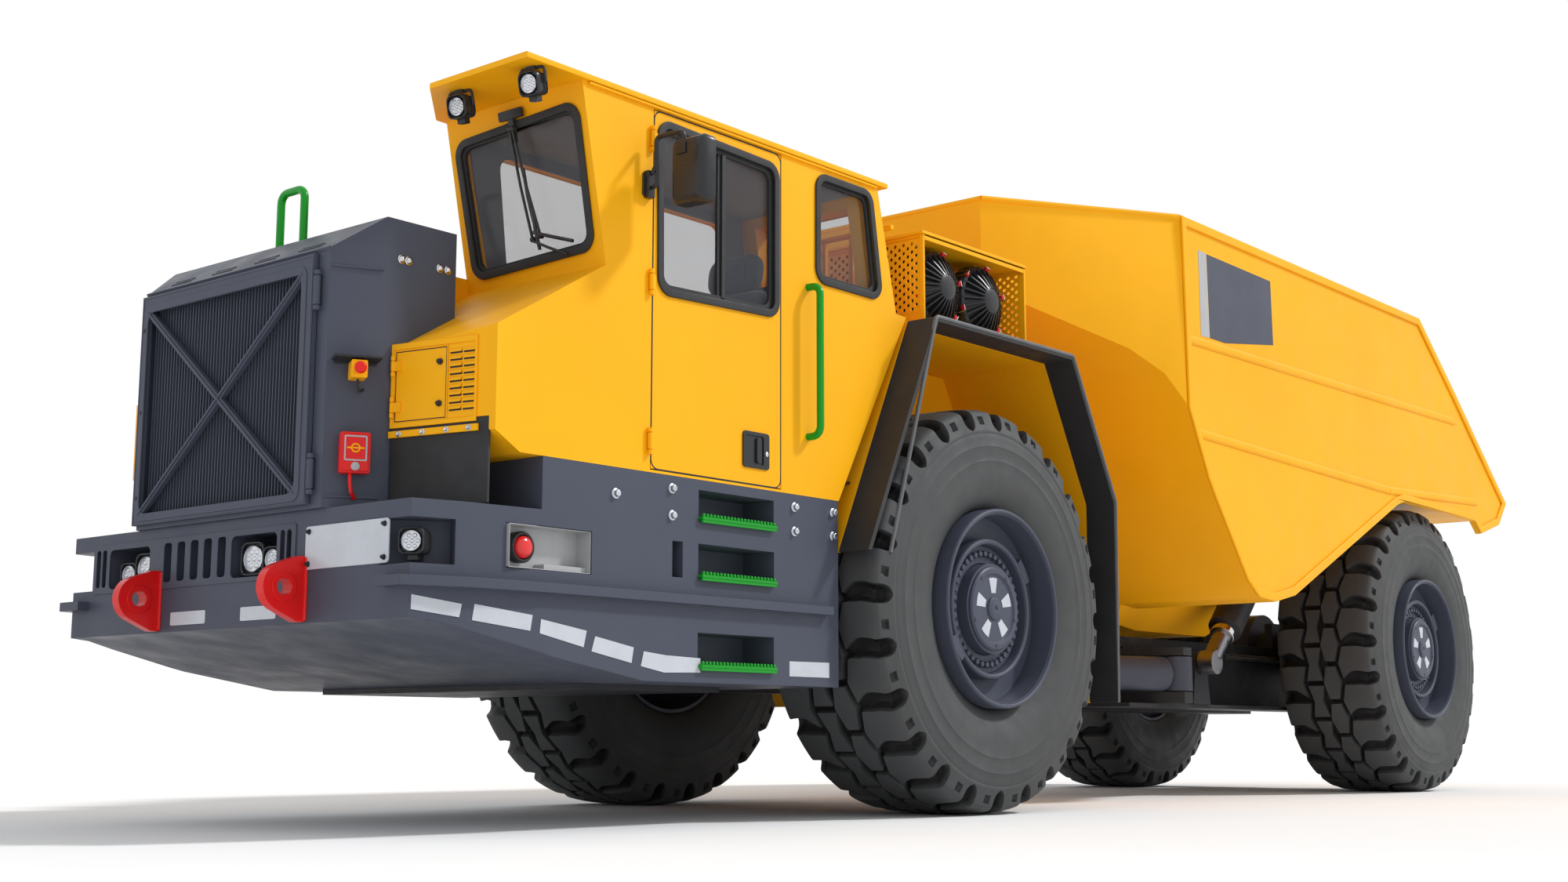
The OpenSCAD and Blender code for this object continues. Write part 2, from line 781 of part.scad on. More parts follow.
module steer_rod(side) {
    mirror([0, side > 0 ? 0 : 1, 0]) at_hitch() translate([steer_rear.x, steer_rear.y, steer_z])
        rotate([0, 0, steer_a]) {
            translate([480, 0, 0]) rotate([0, 90, 0]) cylinder(r = steer_rod_r, h = steer_len - 520);
            translate([steer_len, 0, 0]) cylinder(r = 75, h = 100, center = true);
        }
}

module steer_barrel_left() { color(steel) steer_barrel(1); }
module steer_barrel_right() { color(steel) steer_barrel(-1); }
module steer_rod_left() { color(steel) steer_rod(1); }
module steer_rod_right() { color(steel) steer_rod(-1); }

// ---- hoist cylinders: lower eye and upper pin, seen from the rear axle ----

hoist_top = [wheelbase - 4730, 2030];
hoist_len = norm(hoist_top - hoist_low);
hoist_a = atan2(hoist_top.y - hoist_low.y, hoist_top.x - hoist_low.x);
hoist_pin_r = 40;

// Places a cylinder along +X from the upper pin towards the lower eye
module on_hoist() {
    at_rear() both_sides() translate([hoist_top.x, hoist_y, hoist_top.y]) rotate([0, 180 - hoist_a, 0])
        children();
}

sleeve_r = 85;
hoist_rod_r = 60;

module tube(r_out, r_in, from, to) {
    translate([from, 0, 0]) rotate([0, 90, 0]) difference() {
        cylinder(r = r_out, h = to - from);
        translate([0, 0, -1]) cylinder(r = r_in, h = to - from + 2);
    }
}

module hoist_barrels() {
    color(black) on_hoist() {
        difference() {
            union() {
                rotate([90, 0, 0]) cylinder(r = 85, h = 120, center = true);
                translate([50, 0, 0]) rotate([0, 90, 0]) cylinder(r = 58, h = 120);
            }
            rotate([90, 0, 0]) cylinder(r = hoist_pin_r + run_gap, h = 200, center = true);
        }
        translate([150, 0, 0]) rotate([0, 90, 0]) cylinder(r = hoist_r, h = 30);
        tube(hoist_r, sleeve_r + run_gap, 180 - eps, hoist_len - 330);
    }
}

module hoist_sleeves() {
    color(steel) on_hoist() tube(sleeve_r, hoist_rod_r + run_gap, 190, hoist_len - 260);
}

module hoist_rods() {
    color(steel) on_hoist() {
        translate([200, 0, 0]) rotate([0, 90, 0]) cylinder(r = hoist_rod_r, h = hoist_len - 240);
        translate([hoist_len, 0, 0]) rotate([90, 0, 0]) cylinder(r = 80, h = 110, center = true);
    }
}

// ---- dump box, seen from the rear axle ----

// Side plate outline, from the front upper corner round the front
box_front = [
    [4858, box_z], [4858, 2975], [4060, 2665], [3861, 2526], [3729, 2331], [3510, 1930],
    [3437, 1833], [3041, 1346], [2888, 1249], [2671, 1232]];
box_tail = [[-604, 3038], [38, box_z]];
tail_tip = [-rear_overhang, 2259];

side_outline = concat(box_front, [[2383, 1288], [640, 2034], [492, 2076], [-903, 2056], [-1024, 1968],
    [-1420, 2070], tail_tip], box_tail);
tub_outline = concat(box_front, [[2560, 1250], [1640, 2120], [-1420, 2120], tail_tip], box_tail);
trough_outline = [[3100, 1500], [2790, 1130], [2500, 1100], [1500, 1100], [500, 1750], [-1300, 2110],
    [-1300, 2400], [3100, 2400]];
wing = [[4858, 847], [3748, box_y]];
tub_plan = concat([[-rear_overhang - 10, box_y]], [wing[1], wing[0]],
    mirror_y([wing[1], wing[0]]), [[-rear_overhang - 10, -box_y]]);

module dump_box() {
    trough_y = 620;
    color(yellow) at_rear() difference() {
        union() {
            intersection() {
                slab(tub_outline, -box_y, box_y);
                plan(tub_plan, 0, far);
            }
            intersection() {
                slab(side_outline, -box_y, box_y);
                difference() {
                    plan(tub_plan, 0, far);
                    block([-far, -box_y + plate, 0], [far, box_y - plate, far]);
                }
            }
            trough(trough_outline, trough_y);
            both_sides() {
                // pivot ears and hoist ears
                slab([[-bed_pivot_back - 80, bed_pivot_z - 60], [-bed_pivot_back + 80, bed_pivot_z - 60],
                      [-bed_pivot_back + 200, 2125], [-bed_pivot_back - 200, 2125]],
                      rail_y + 8, rail_y + 68);
                slab([[hoist_top.x - 70, hoist_top.y - 60], [hoist_top.x + 70, hoist_top.y - 60],
                      [hoist_top.x + 110, 2125], [hoist_top.x - 110, 2125]],
                      hoist_y - 112, hoist_y - 66);
                y_rod(hoist_top.x, hoist_top.y, hoist_pin_r, hoist_y - 70, hoist_y + 62);
            }
        }
        both_sides() y_rod(-bed_pivot_back, bed_pivot_z, bed_pin_r + run_gap, rail_y, rail_y + 100);
        // load space
        intersection() {
            translate([0, 0, 0]) slab(load_outline, -box_y + plate, box_y - plate);
            translate([0, 0, 1000]) linear_extrude(far) offset(delta = -plate) polygon(tub_plan);
        }
        trough(trough_load, trough_y - plate);
    }
}

// Belly between the rails and the hoist cylinders, with bevelled lower edges
module trough(outline, half) {
    intersection() {
        slab(outline, -half, half);
        hull() both_sides() {
            block([-far, 0, 1100], [far, half - 160, 1101]);
            block([-far, 0, 1300], [far, half, far]);
        }
    }
}

load_outline = [
    [4858 - plate, box_z + 500], [4858 - plate, 2975 + plate], [4060 - plate, 2665 + plate],
    [3861 - plate, 2526 + plate], [3510 - plate - 10, 1930 + plate], [3041 - plate, 1346 + plate + 20],
    [2888 - plate, 1249 + plate + 20], [2600, 1249 + plate + 20], [1660, 2120 + plate],
    [-1420, 2120 + plate], [-rear_overhang - 300, 2259 + plate], [-rear_overhang - 300, box_z + 500]];
trough_load = [[2960, 1500], [2760, 1200], [2500, 1136], [1515, 1136], [520, 1790], [-1200, 2121],
    [-1200, 2500], [2960, 2500]];

// ---- wheels ----

module notched(angle) {
    pitch = 360 / lug_count;
    base_r = tyre_r - lug_h;
    difference() {
        circle(r = tyre_r, $fn = 96);
        circle(r = base_r - 40, $fn = 96);
        for (i = [0 : lug_count - 1]) rotate(i * pitch + angle)
            polygon([[base_r, -40], [tyre_r + 40, -62], [tyre_r + 40, 62], [base_r, 40]]);
    }
}

module tyre() {
    base_r = tyre_r - lug_h;
    rim_r = rim_d / 2;
    w = tyre_w / 2;
    rotate([-90, 0, 0]) {
        rotate_extrude($fn = 96) polygon([
            [rim_r, -w + 70], [rim_r + 70, -w + 30], [rim_r + 250, -w], [base_r - 90, -w], [base_r - 20, -w + 25],
            [base_r, -w + 90], [base_r, w - 90], [base_r - 20, w - 25], [base_r - 90, w], [rim_r + 250, w],
            [rim_r + 70, w - 30], [rim_r, w - 70]]);
        translate([0, 0, -w + 8]) linear_extrude(w - 100) notched(0);
        translate([0, 0, 92]) linear_extrude(w - 100) notched(180 / lug_count);
    }
}

module rim() {
    rim_r = rim_d / 2 + 0.3;
    rotate([-90, 0, 0]) {
        rotate_extrude($fn = 72) polygon([
            [rim_r - 20, -300], [rim_r, -300], [rim_r, 384], [rim_r - 30, 384], [rim_r - 30, 250], [360, 230], [360, 300], [330, 300], [330, 200],
            [spindle_r + run_gap, 200], [spindle_r + run_gap, -60], [250, -60], [300, 120],
            [rim_r - 60, 140], [rim_r - 20, 0]]);
        translate([0, 0, 200 - eps]) cylinder(r = 230, h = 120);
    }
}

// Wheels: front or rear, side
module wheel_place(x, side) {
    translate([x, side * track / 2, axle_z]) mirror([0, side > 0 ? 0 : 1, 0]) children();
}

module tyre_front_left() { color(black) wheel_place(front_x, 1) tyre(); }
module tyre_front_right() { color(black) wheel_place(front_x, -1) tyre(); }
module tyre_rear_left() { color(black) wheel_place(rear_x, 1) tyre(); }
module tyre_rear_right() { color(black) wheel_place(rear_x, -1) tyre(); }
module rim_front_left() { color(slate) wheel_place(front_x, 1) rim(); }
module rim_front_right() { color(slate) wheel_place(front_x, -1) rim(); }
module rim_rear_left() { color(slate) wheel_place(rear_x, 1) rim(); }
module rim_rear_right() { color(slate) wheel_place(rear_x, -1) rim(); }

front_frame();
tow_lugs();
cowl();
radiator();
radiator_door();
engine_block();
engine_hood();
cab_shell();
cab_roof();
cab_glass();
window_seals();
seat();
console();
cab_door();
door_glass();
door_seal();
cabinet_door();
mudflaps();
step_treads();
lamps();
side_mirror();
grab_rails();
safety_boxes();
fenders();
air_box();
air_filters();
front_chassis();
front_axle();
rear_frame();
rear_axle();
dump_box();
hoist_barrels();
hoist_sleeves();
hoist_rods();
steer_barrel_left();
steer_barrel_right();
steer_rod_left();
steer_rod_right();
tyre_front_left();
tyre_front_right();
tyre_rear_left();
tyre_rear_right();
rim_front_left();
rim_front_right();
rim_rear_left();
rim_rear_right();
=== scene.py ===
"""Looks of the articulated underground mining truck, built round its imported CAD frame.

Metres, +X forward, +Y to the cab side, +Z up. Places on the front body count x from the front axle,
places on the box and the rear frame count x from the rear axle.
"""

import json
import math

import bmesh
import bpy
from mathutils import Matrix, Vector
from mathutils.geometry import tessellate_polygon


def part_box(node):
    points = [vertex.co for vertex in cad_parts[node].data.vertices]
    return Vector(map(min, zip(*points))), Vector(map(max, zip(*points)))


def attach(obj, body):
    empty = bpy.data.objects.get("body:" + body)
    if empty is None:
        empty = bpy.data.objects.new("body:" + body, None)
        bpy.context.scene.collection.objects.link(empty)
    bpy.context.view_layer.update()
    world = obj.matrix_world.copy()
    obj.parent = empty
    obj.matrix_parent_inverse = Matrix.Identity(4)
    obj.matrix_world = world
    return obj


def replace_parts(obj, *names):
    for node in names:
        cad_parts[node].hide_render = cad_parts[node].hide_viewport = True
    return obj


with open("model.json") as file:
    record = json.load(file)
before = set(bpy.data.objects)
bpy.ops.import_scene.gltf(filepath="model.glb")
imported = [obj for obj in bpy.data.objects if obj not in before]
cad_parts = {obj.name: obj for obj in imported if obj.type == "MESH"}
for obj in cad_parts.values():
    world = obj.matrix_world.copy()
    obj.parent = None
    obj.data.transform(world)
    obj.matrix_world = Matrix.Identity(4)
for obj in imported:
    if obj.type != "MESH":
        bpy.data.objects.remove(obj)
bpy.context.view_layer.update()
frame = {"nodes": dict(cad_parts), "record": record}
NODES = frame["nodes"]

# ---- places taken from the frame ----


def middle(node):
    """Middle of a CAD node's box."""
    low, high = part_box(node)
    return (low + high) / 2


FRONT_X = middle("tyre_front_left").x
REAR_X = middle("tyre_rear_left").x
AXLE_Z = middle("tyre_front_left").z
TRACK_Y = middle("tyre_front_left").y

BUMPER_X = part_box("tow_lugs")[0].x - FRONT_X
SIDE_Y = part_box("fenders")[1].y
RUBBER_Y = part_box("mudflaps")[1].y
COWL_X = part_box("radiator_door")[0].x - FRONT_X - 0.001
BOX_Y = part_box("dump_box")[1].y

SIDES = {"left": 1, "right": -1}
X, Y, Z = Vector((1, 0, 0)), Vector((0, 1, 0)), Vector((0, 0, 1))


def front(x, y, z):
    """A point of the front body, x counted from the front axle."""
    return Vector((FRONT_X + x, y, z))


def rear(x, y, z):
    """A point of the box or the rear frame, x counted from the rear axle."""
    return Vector((REAR_X + x, y, z))


AT_FRONT = Matrix.Translation(front(0, 0, 0))
# Lets an outline on a left face be drawn with x forward
FORWARD = Matrix.Diagonal((-1, 1, 1, 1))


def facing(at, out, up=Z):
    """A place on a face: local z points out of it, y along up, and x to the right of one who looks at it."""
    z = Vector(out).normalized()
    x = Vector(up).cross(z).normalized()
    place = Matrix((x, z.cross(x), z)).transposed().to_4x4()
    place.translation = at
    return place


def left_face(y=SIDE_Y):
    """The front body's left face at y: outlines are x forward from the front axle, and z up."""
    return facing(front(0, y, 0), Y) @ FORWARD


# The bumper's face: x is the truck's y, y is z
BUMPER_FACE = facing(front(BUMPER_X, 0, 0), X)


def shifted(place, x, y, z):
    return place @ Matrix.Translation((x, y, z))


# ---- camera, floor and light ----

CAMERA_AT = (8.1787, 6.856, 0.3749)
CAMERA_HEADING = 39.7957
CAMERA_PITCH = 8.9204
LENS = 43.7
SENSOR = 36.0
FAR_CLIP = 200.0


def add_object(name, data):
    obj = bpy.data.objects.new(name, data)
    bpy.context.scene.collection.objects.link(obj)
    return obj


def add_camera():
    """The photograph's viewpoint: just above the floor, ahead of the truck and on its left."""
    data = bpy.data.cameras.new("camera")
    data.lens = LENS
    data.sensor_width = SENSOR
    data.clip_end = FAR_CLIP
    camera = add_object("camera", data)
    camera.location = front(*CAMERA_AT)
    heading, pitch = math.radians(CAMERA_HEADING), math.radians(CAMERA_PITCH)
    level = math.cos(pitch)
    look = Vector((-math.cos(heading) * level, -math.sin(heading) * level, math.sin(pitch)))
    camera.rotation_euler = look.to_track_quat("-Z", "Y").to_euler()
    bpy.context.scene.camera = camera
    bpy.context.scene.view_settings.view_transform = "Standard"


SKY_LIGHT = 0.72
SKY_COLOUR = (0.98, 0.99, 1.0, 1.0)
SUN_LIGHT = 1.9
SUN_ANGLE = 6
SUN_TRAVEL = (0.56, -0.49, -0.67)


def show_white(tree, sky):
    """White where the camera, a mirror or a pane looks straight at the sky; its light elsewhere."""
    nodes, links = tree.nodes, tree.links
    path = nodes.new("ShaderNodeLightPath")
    seen = path.outputs["Is Camera Ray"]
    for ray in ("Is Glossy Ray", "Is Transmission Ray"):
        either = nodes.new("ShaderNodeMath")
        either.operation = "MAXIMUM"
        links.new(seen, either.inputs[0])
        links.new(path.outputs[ray], either.inputs[1])
        seen = either.outputs[0]
    white = nodes.new("ShaderNodeBackground")
    white.inputs["Color"].default_value = (1.0, 1.0, 1.0, 1.0)
    mix = nodes.new("ShaderNodeMixShader")
    links.new(seen, mix.inputs[0])
    links.new(sky.outputs[0], mix.inputs[1])
    links.new(white.outputs[0], mix.inputs[2])
    links.new(mix.outputs[0], nodes["World Output"].inputs["Surface"])


def add_light():
    """An even pale sky and one soft sun from the left and behind the camera."""
    world = bpy.data.worlds.new("studio")
    world.use_nodes = True
    sky = world.node_tree.nodes["Background"]
    sky.inputs["Color"].default_value = SKY_COLOUR
    sky.inputs["Strength"].default_value = SKY_LIGHT
    show_white(world.node_tree, sky)
    bpy.context.scene.world = world
    sun = bpy.data.lights.new("key", "SUN")
    sun.energy = SUN_LIGHT
    sun.angle = math.radians(SUN_ANGLE)
    lamp = add_object("key", sun)
    lamp.rotation_euler = Vector(SUN_TRAVEL).to_track_quat("-Z", "Y").to_euler()


FLOOR_HALF = 60.0


def add_floor():
    """The pale floor, which is staging and no part of the truck."""
    mesh = bpy.data.meshes.new("floor")
    corners = [(x, y, 0) for x, y in rectangle(-FLOOR_HALF, FLOOR_HALF, -FLOOR_HALF, FLOOR_HALF)]
    mesh.from_pydata(corners, [], [(0, 1, 2, 3)])
    look = Look("floor")
    look.feed("Base Color", look.ramp(look.noise(0.4), [(0.4, grey(0.93)), (0.6, grey(0.95))]))
    look.feed("Roughness", 0.9)
    look.feed("Specular IOR Level", 0.0)
    mesh.materials.append(look.mat)
    add_object("floor", mesh)


# ---- materials ----


def grey(value):
    return (value, value, value)


def scaled(colour, share):
    return tuple(c * share for c in colour)


class Look:
    """A material and the nodes that feed its shader. Textures lie on the object's own metres."""

    def __init__(self, name):
        self.mat = bpy.data.materials.new(name)
        self.mat.use_nodes = True
        self.tree = self.mat.node_tree
        self.shader = self.tree.nodes["Principled BSDF"]

    def node(self, kind, inputs):
        """A new node of this kind, each input set to a number or linked to a socket."""
        node = self.tree.nodes.new("ShaderNode" + kind)
        for name, value in inputs.items():
            self.set_input(node, name, value)
        return node

    def set_input(self, node, name, value):
        if isinstance(value, bpy.types.NodeSocket):
            self.tree.links.new(value, node.inputs[name])
        else:
            node.inputs[name].default_value = value

    def feed(self, name, value):
        """Sets an input of the shader."""
        self.set_input(self.shader, name, value)

    def place(self):
        return self.node("TexCoord", {}).outputs["Object"]

    def noise(self, scale, detail=4.0, rough=0.55, stretch=(1.0, 1.0, 1.0)):
        mapping = self.node("Mapping", {"Scale": stretch, "Vector": self.place()})
        return self.node("TexNoise", {"Scale": scale, "Detail": detail, "Roughness": rough,
                                      "Vector": mapping.outputs["Vector"]}).outputs["Fac"]

    def ramp(self, fac, stops):
        """Colours along a value: two stops of place and colour."""
        node = self.node("ValToRGB", {"Fac": fac})
        for element, (at, colour) in zip(node.color_ramp.elements, stops):
            element.position = at
            element.color = (*colour, 1.0)
        return node.outputs["Color"]

    def blend(self, fac, a, b):
        """Colour socket a turning into the plain colour b."""
        mix = self.node("Mix", {})
        mix.data_type = "RGBA"
        self.set_input(mix, "Factor", fac)
        self.set_input(mix, "A", a)
        self.set_input(mix, "B", (*b, 1.0))
        return mix.outputs["Result"]

    def bump(self, height, strength, distance=0.002):
        node = self.node("Bump", {"Strength": strength, "Distance": distance, "Height": height})
        self.feed("Normal", node.outputs["Normal"])

    def uneven_roughness(self, scale, low, high):
        node = self.node("MapRange", {"Value": self.noise(scale, 5.0), "From Min": 0.3, "From Max": 0.7,
                                      "To Min": low, "To Max": high})
        self.feed("Roughness", node.outputs["Result"])


DUST = (0.42, 0.38, 0.32)


def paint(name, colour, roughness, dust=0.05, coat=0.25):
    """Sprayed paint on plate: orange peel, slightly uneven colour and dusty patches."""
    look = Look(name)
    base = look.ramp(look.noise(1.3, 3.0), [(0.35, scaled(colour, 0.94)), (0.65, colour)])
    dusty = look.ramp(look.noise(2.4, 6.0, 0.7), [(0.52, grey(0.0)), (0.78, grey(dust))])
    look.feed("Base Color", look.blend(dusty, base, DUST))
    look.uneven_roughness(5.0, roughness - 0.07, roughness + 0.10)
    look.feed("Specular IOR Level", 0.18)
    look.feed("Coat Weight", coat)
    look.feed("Coat Roughness", 0.22)
    look.bump(look.noise(160.0, 2.0), 0.06)
    return look.mat


# Near black of the painted shade deep in the tyre's grooves
GROOVE_SHADE_COLOUR = (0.008, 0.008, 0.009)


def rubber(name, colour, dust, roughness, bump, scale=90.0, groove_shade=None):
    """Rubber or matt plastic: fine grain, pale dust in patches, and painted shade that turns near black as
    the mesh's named value says.
    """
    look = Look(name)
    dusty = tuple(c * (1.15 + dust) + dust * 0.03 for c in colour)
    base = look.ramp(look.noise(3.0, 8.0, 0.65), [(0.4, colour), (0.9 - dust * 0.4, dusty)])
    # Painted shade: the colour turns near black as the mesh's named value says
    if groove_shade:
        depth = look.node("Attribute", {})
        depth.attribute_name = groove_shade
        base = look.blend(depth.outputs["Fac"], base, GROOVE_SHADE_COLOUR)
    look.feed("Base Color", base)
    look.uneven_roughness(9.0, roughness - 0.1, roughness + 0.1)
    look.feed("Specular IOR Level", 0.35)
    look.bump(look.noise(scale, 5.0, 0.6), bump)
    return look.mat


def metal(name, colour, roughness):
    """Bare or plated metal with fine drawn scratches."""
    look = Look(name)
    look.feed("Metallic", 1.0)
    look.feed("Base Color", look.ramp(look.noise(6.0, 5.0), [(0.4, scaled(colour, 0.82)), (0.6, colour)]))
    look.uneven_roughness(24.0, roughness * 0.7, roughness * 1.4)
    look.bump(look.noise(60.0, 3.0, 0.6, (1.0, 1.0, 9.0)), 0.05, 0.001)
    return look.mat


def sheeting(name, colour, roughness=0.35):
    """Reflective or printed sheet stuck on: a fine cell pattern under a smooth film, lightly soiled."""
    look = Look(name)
    soiled = [(0.35, colour), (0.8, scaled(colour, 0.86))]
    look.feed("Base Color", look.ramp(look.noise(7.0, 6.0, 0.7), soiled))
    look.uneven_roughness(12.0, roughness - 0.06, roughness + 0.08)
    look.feed("Coat Weight", 0.4)
    cells = look.node("TexVoronoi", {"Scale": 220.0, "Vector": look.place()})
    look.bump(cells.outputs["Distance"], 0.15, 0.001)
    return look.mat


def pane(name, dark, pale):
    """Tinted window glass."""
    look = Look(name)
    look.feed("Base Color", look.ramp(look.noise(2.0, 3.0), [(0.4, dark), (0.6, pale)]))
    look.uneven_roughness(7.0, 0.02, 0.07)
    look.feed("Alpha", 0.20)
    look.feed("IOR", 1.5)
    return look.mat


def cloth(name, colour):
    """Woven seat cloth with a soft sheen."""
    look = Look(name)
    look.feed("Base Color", look.ramp(look.noise(5.0, 5.0), [(0.35, scaled(colour, 0.8)), (0.65, colour)]))
    look.uneven_roughness(20.0, 0.78, 0.92)
    look.feed("Sheen Weight", 0.3)
    weave = look.node("TexWave", {"Scale": 160.0, "Distortion": 1.0, "Vector": look.place()})
    look.bump(weave.outputs["Fac"], 0.3)
    return look.mat


# Name, the record's slot whose finish it takes, the function that makes it, and that function's numbers
LOOKS = [
    ("yellow_paint", "yellow_paint", paint, ((1.0, 0.465, 0.004), 0.46, 0.01, 0.0)),
    ("slate_paint", "slate_paint", paint, ((0.074, 0.083, 0.115), 0.40, 0.015, 0.0)),
    ("black_paint", "black_paint", paint, ((0.030, 0.032, 0.037), 0.45, 0.12, 0.05)),
    ("green_paint", "green_paint", paint, ((0.001, 0.31, 0.014), 0.24, 0.0)),
    ("red_paint", "red_paint", paint, ((0.80, 0.012, 0.012), 0.30)),
    # The tyre's rubber, with painted shade in its grooves from the mesh's value groove
    ("tyre", "tyre", rubber, ((0.056, 0.058, 0.060), 0.05, 0.66, 0.12, 140.0, "groove")),
    ("rubber", "rubber", rubber, ((0.022, 0.023, 0.025), 0.1, 0.6, 0.12)),
    ("chrome", "chrome", metal, ((0.72, 0.72, 0.74), 0.12)),
    ("rod_steel", "chrome", metal, ((0.30, 0.30, 0.32), 0.34)),
    ("zinc", "chrome", metal, ((0.62, 0.66, 0.72), 0.30)),
    ("lamp_silver", "lamp_silver", metal, ((0.66, 0.68, 0.72), 0.22)),
    ("reflector", "lamp_silver", sheeting, ((0.56, 0.59, 0.65),)),
    ("light_grey", "lamp_silver", sheeting, ((0.42, 0.43, 0.44), 0.5)),
    ("glass", "glass", pane, ((0.085, 0.095, 0.115), (0.10, 0.11, 0.13))),
    ("seat_cloth", "seat_cloth", cloth, ((0.10, 0.115, 0.155),)),
    ("lining", "seat_cloth", cloth, ((0.20, 0.22, 0.28),)),
    ("black_plastic", "black_plastic", rubber, ((0.020, 0.021, 0.024), 0.1, 0.30, 0.06)),
    ("red_lens", "red_paint", sheeting, ((0.80, 0.010, 0.012), 0.15)),
    # Rubber made grey as a painted highlight, for the fenders' beads
    ("rubber_lip", "rubber", rubber, ((0.115, 0.118, 0.125), 0.1, 0.55, 0.10)),
]
MATERIALS = {name: (make(name, *numbers), slot) for name, slot, make, numbers in LOOKS}

# ---- forms ----


def arc(before, here, after, radius, steps):
    """Points of the arc that rounds the corner here."""
    here = Vector(here)
    back, on = (Vector(before) - here).normalized(), (Vector(after) - here).normalized()
    half = back.angle(on) / 2
    reach = radius / math.tan(half)
    centre = here + (back + on).normalized() * radius / math.sin(half)
    start, end = here + back * reach - centre, here + on * reach - centre
    return [centre + start.slerp(end, k / steps).normalized() * radius for k in range(steps + 1)]


def rounded(corners, radius, steps=5):
    """A polygon with each corner rounded by an arc."""
    out = []
    for i, corner in enumerate(corners):
        after = corners[(i + 1) % len(corners)]
        out += [tuple(p) for p in arc(corners[i - 1], corner, after, radius, steps)]
    return out


def smooth_path(corners, radius, steps=6):
    """A path through corners, each bend rounded by an arc."""
    out = [Vector(corners[0])]
    for before, here, after in zip(corners, corners[1:], corners[2:]):
        out += arc(before, here, after, radius, steps)
    return out + [Vector(corners[-1])]


def rectangle(x0, x1, y0, y1):
    return [(x0, y0), (x1, y0), (x1, y1), (x0, y1)]


def circle(radius, count, x=0.0, y=0.0):
    turns = [math.tau * k / count for k in range(count)]
    return [(x + radius * math.cos(a), y + radius * math.sin(a)) for a in turns]


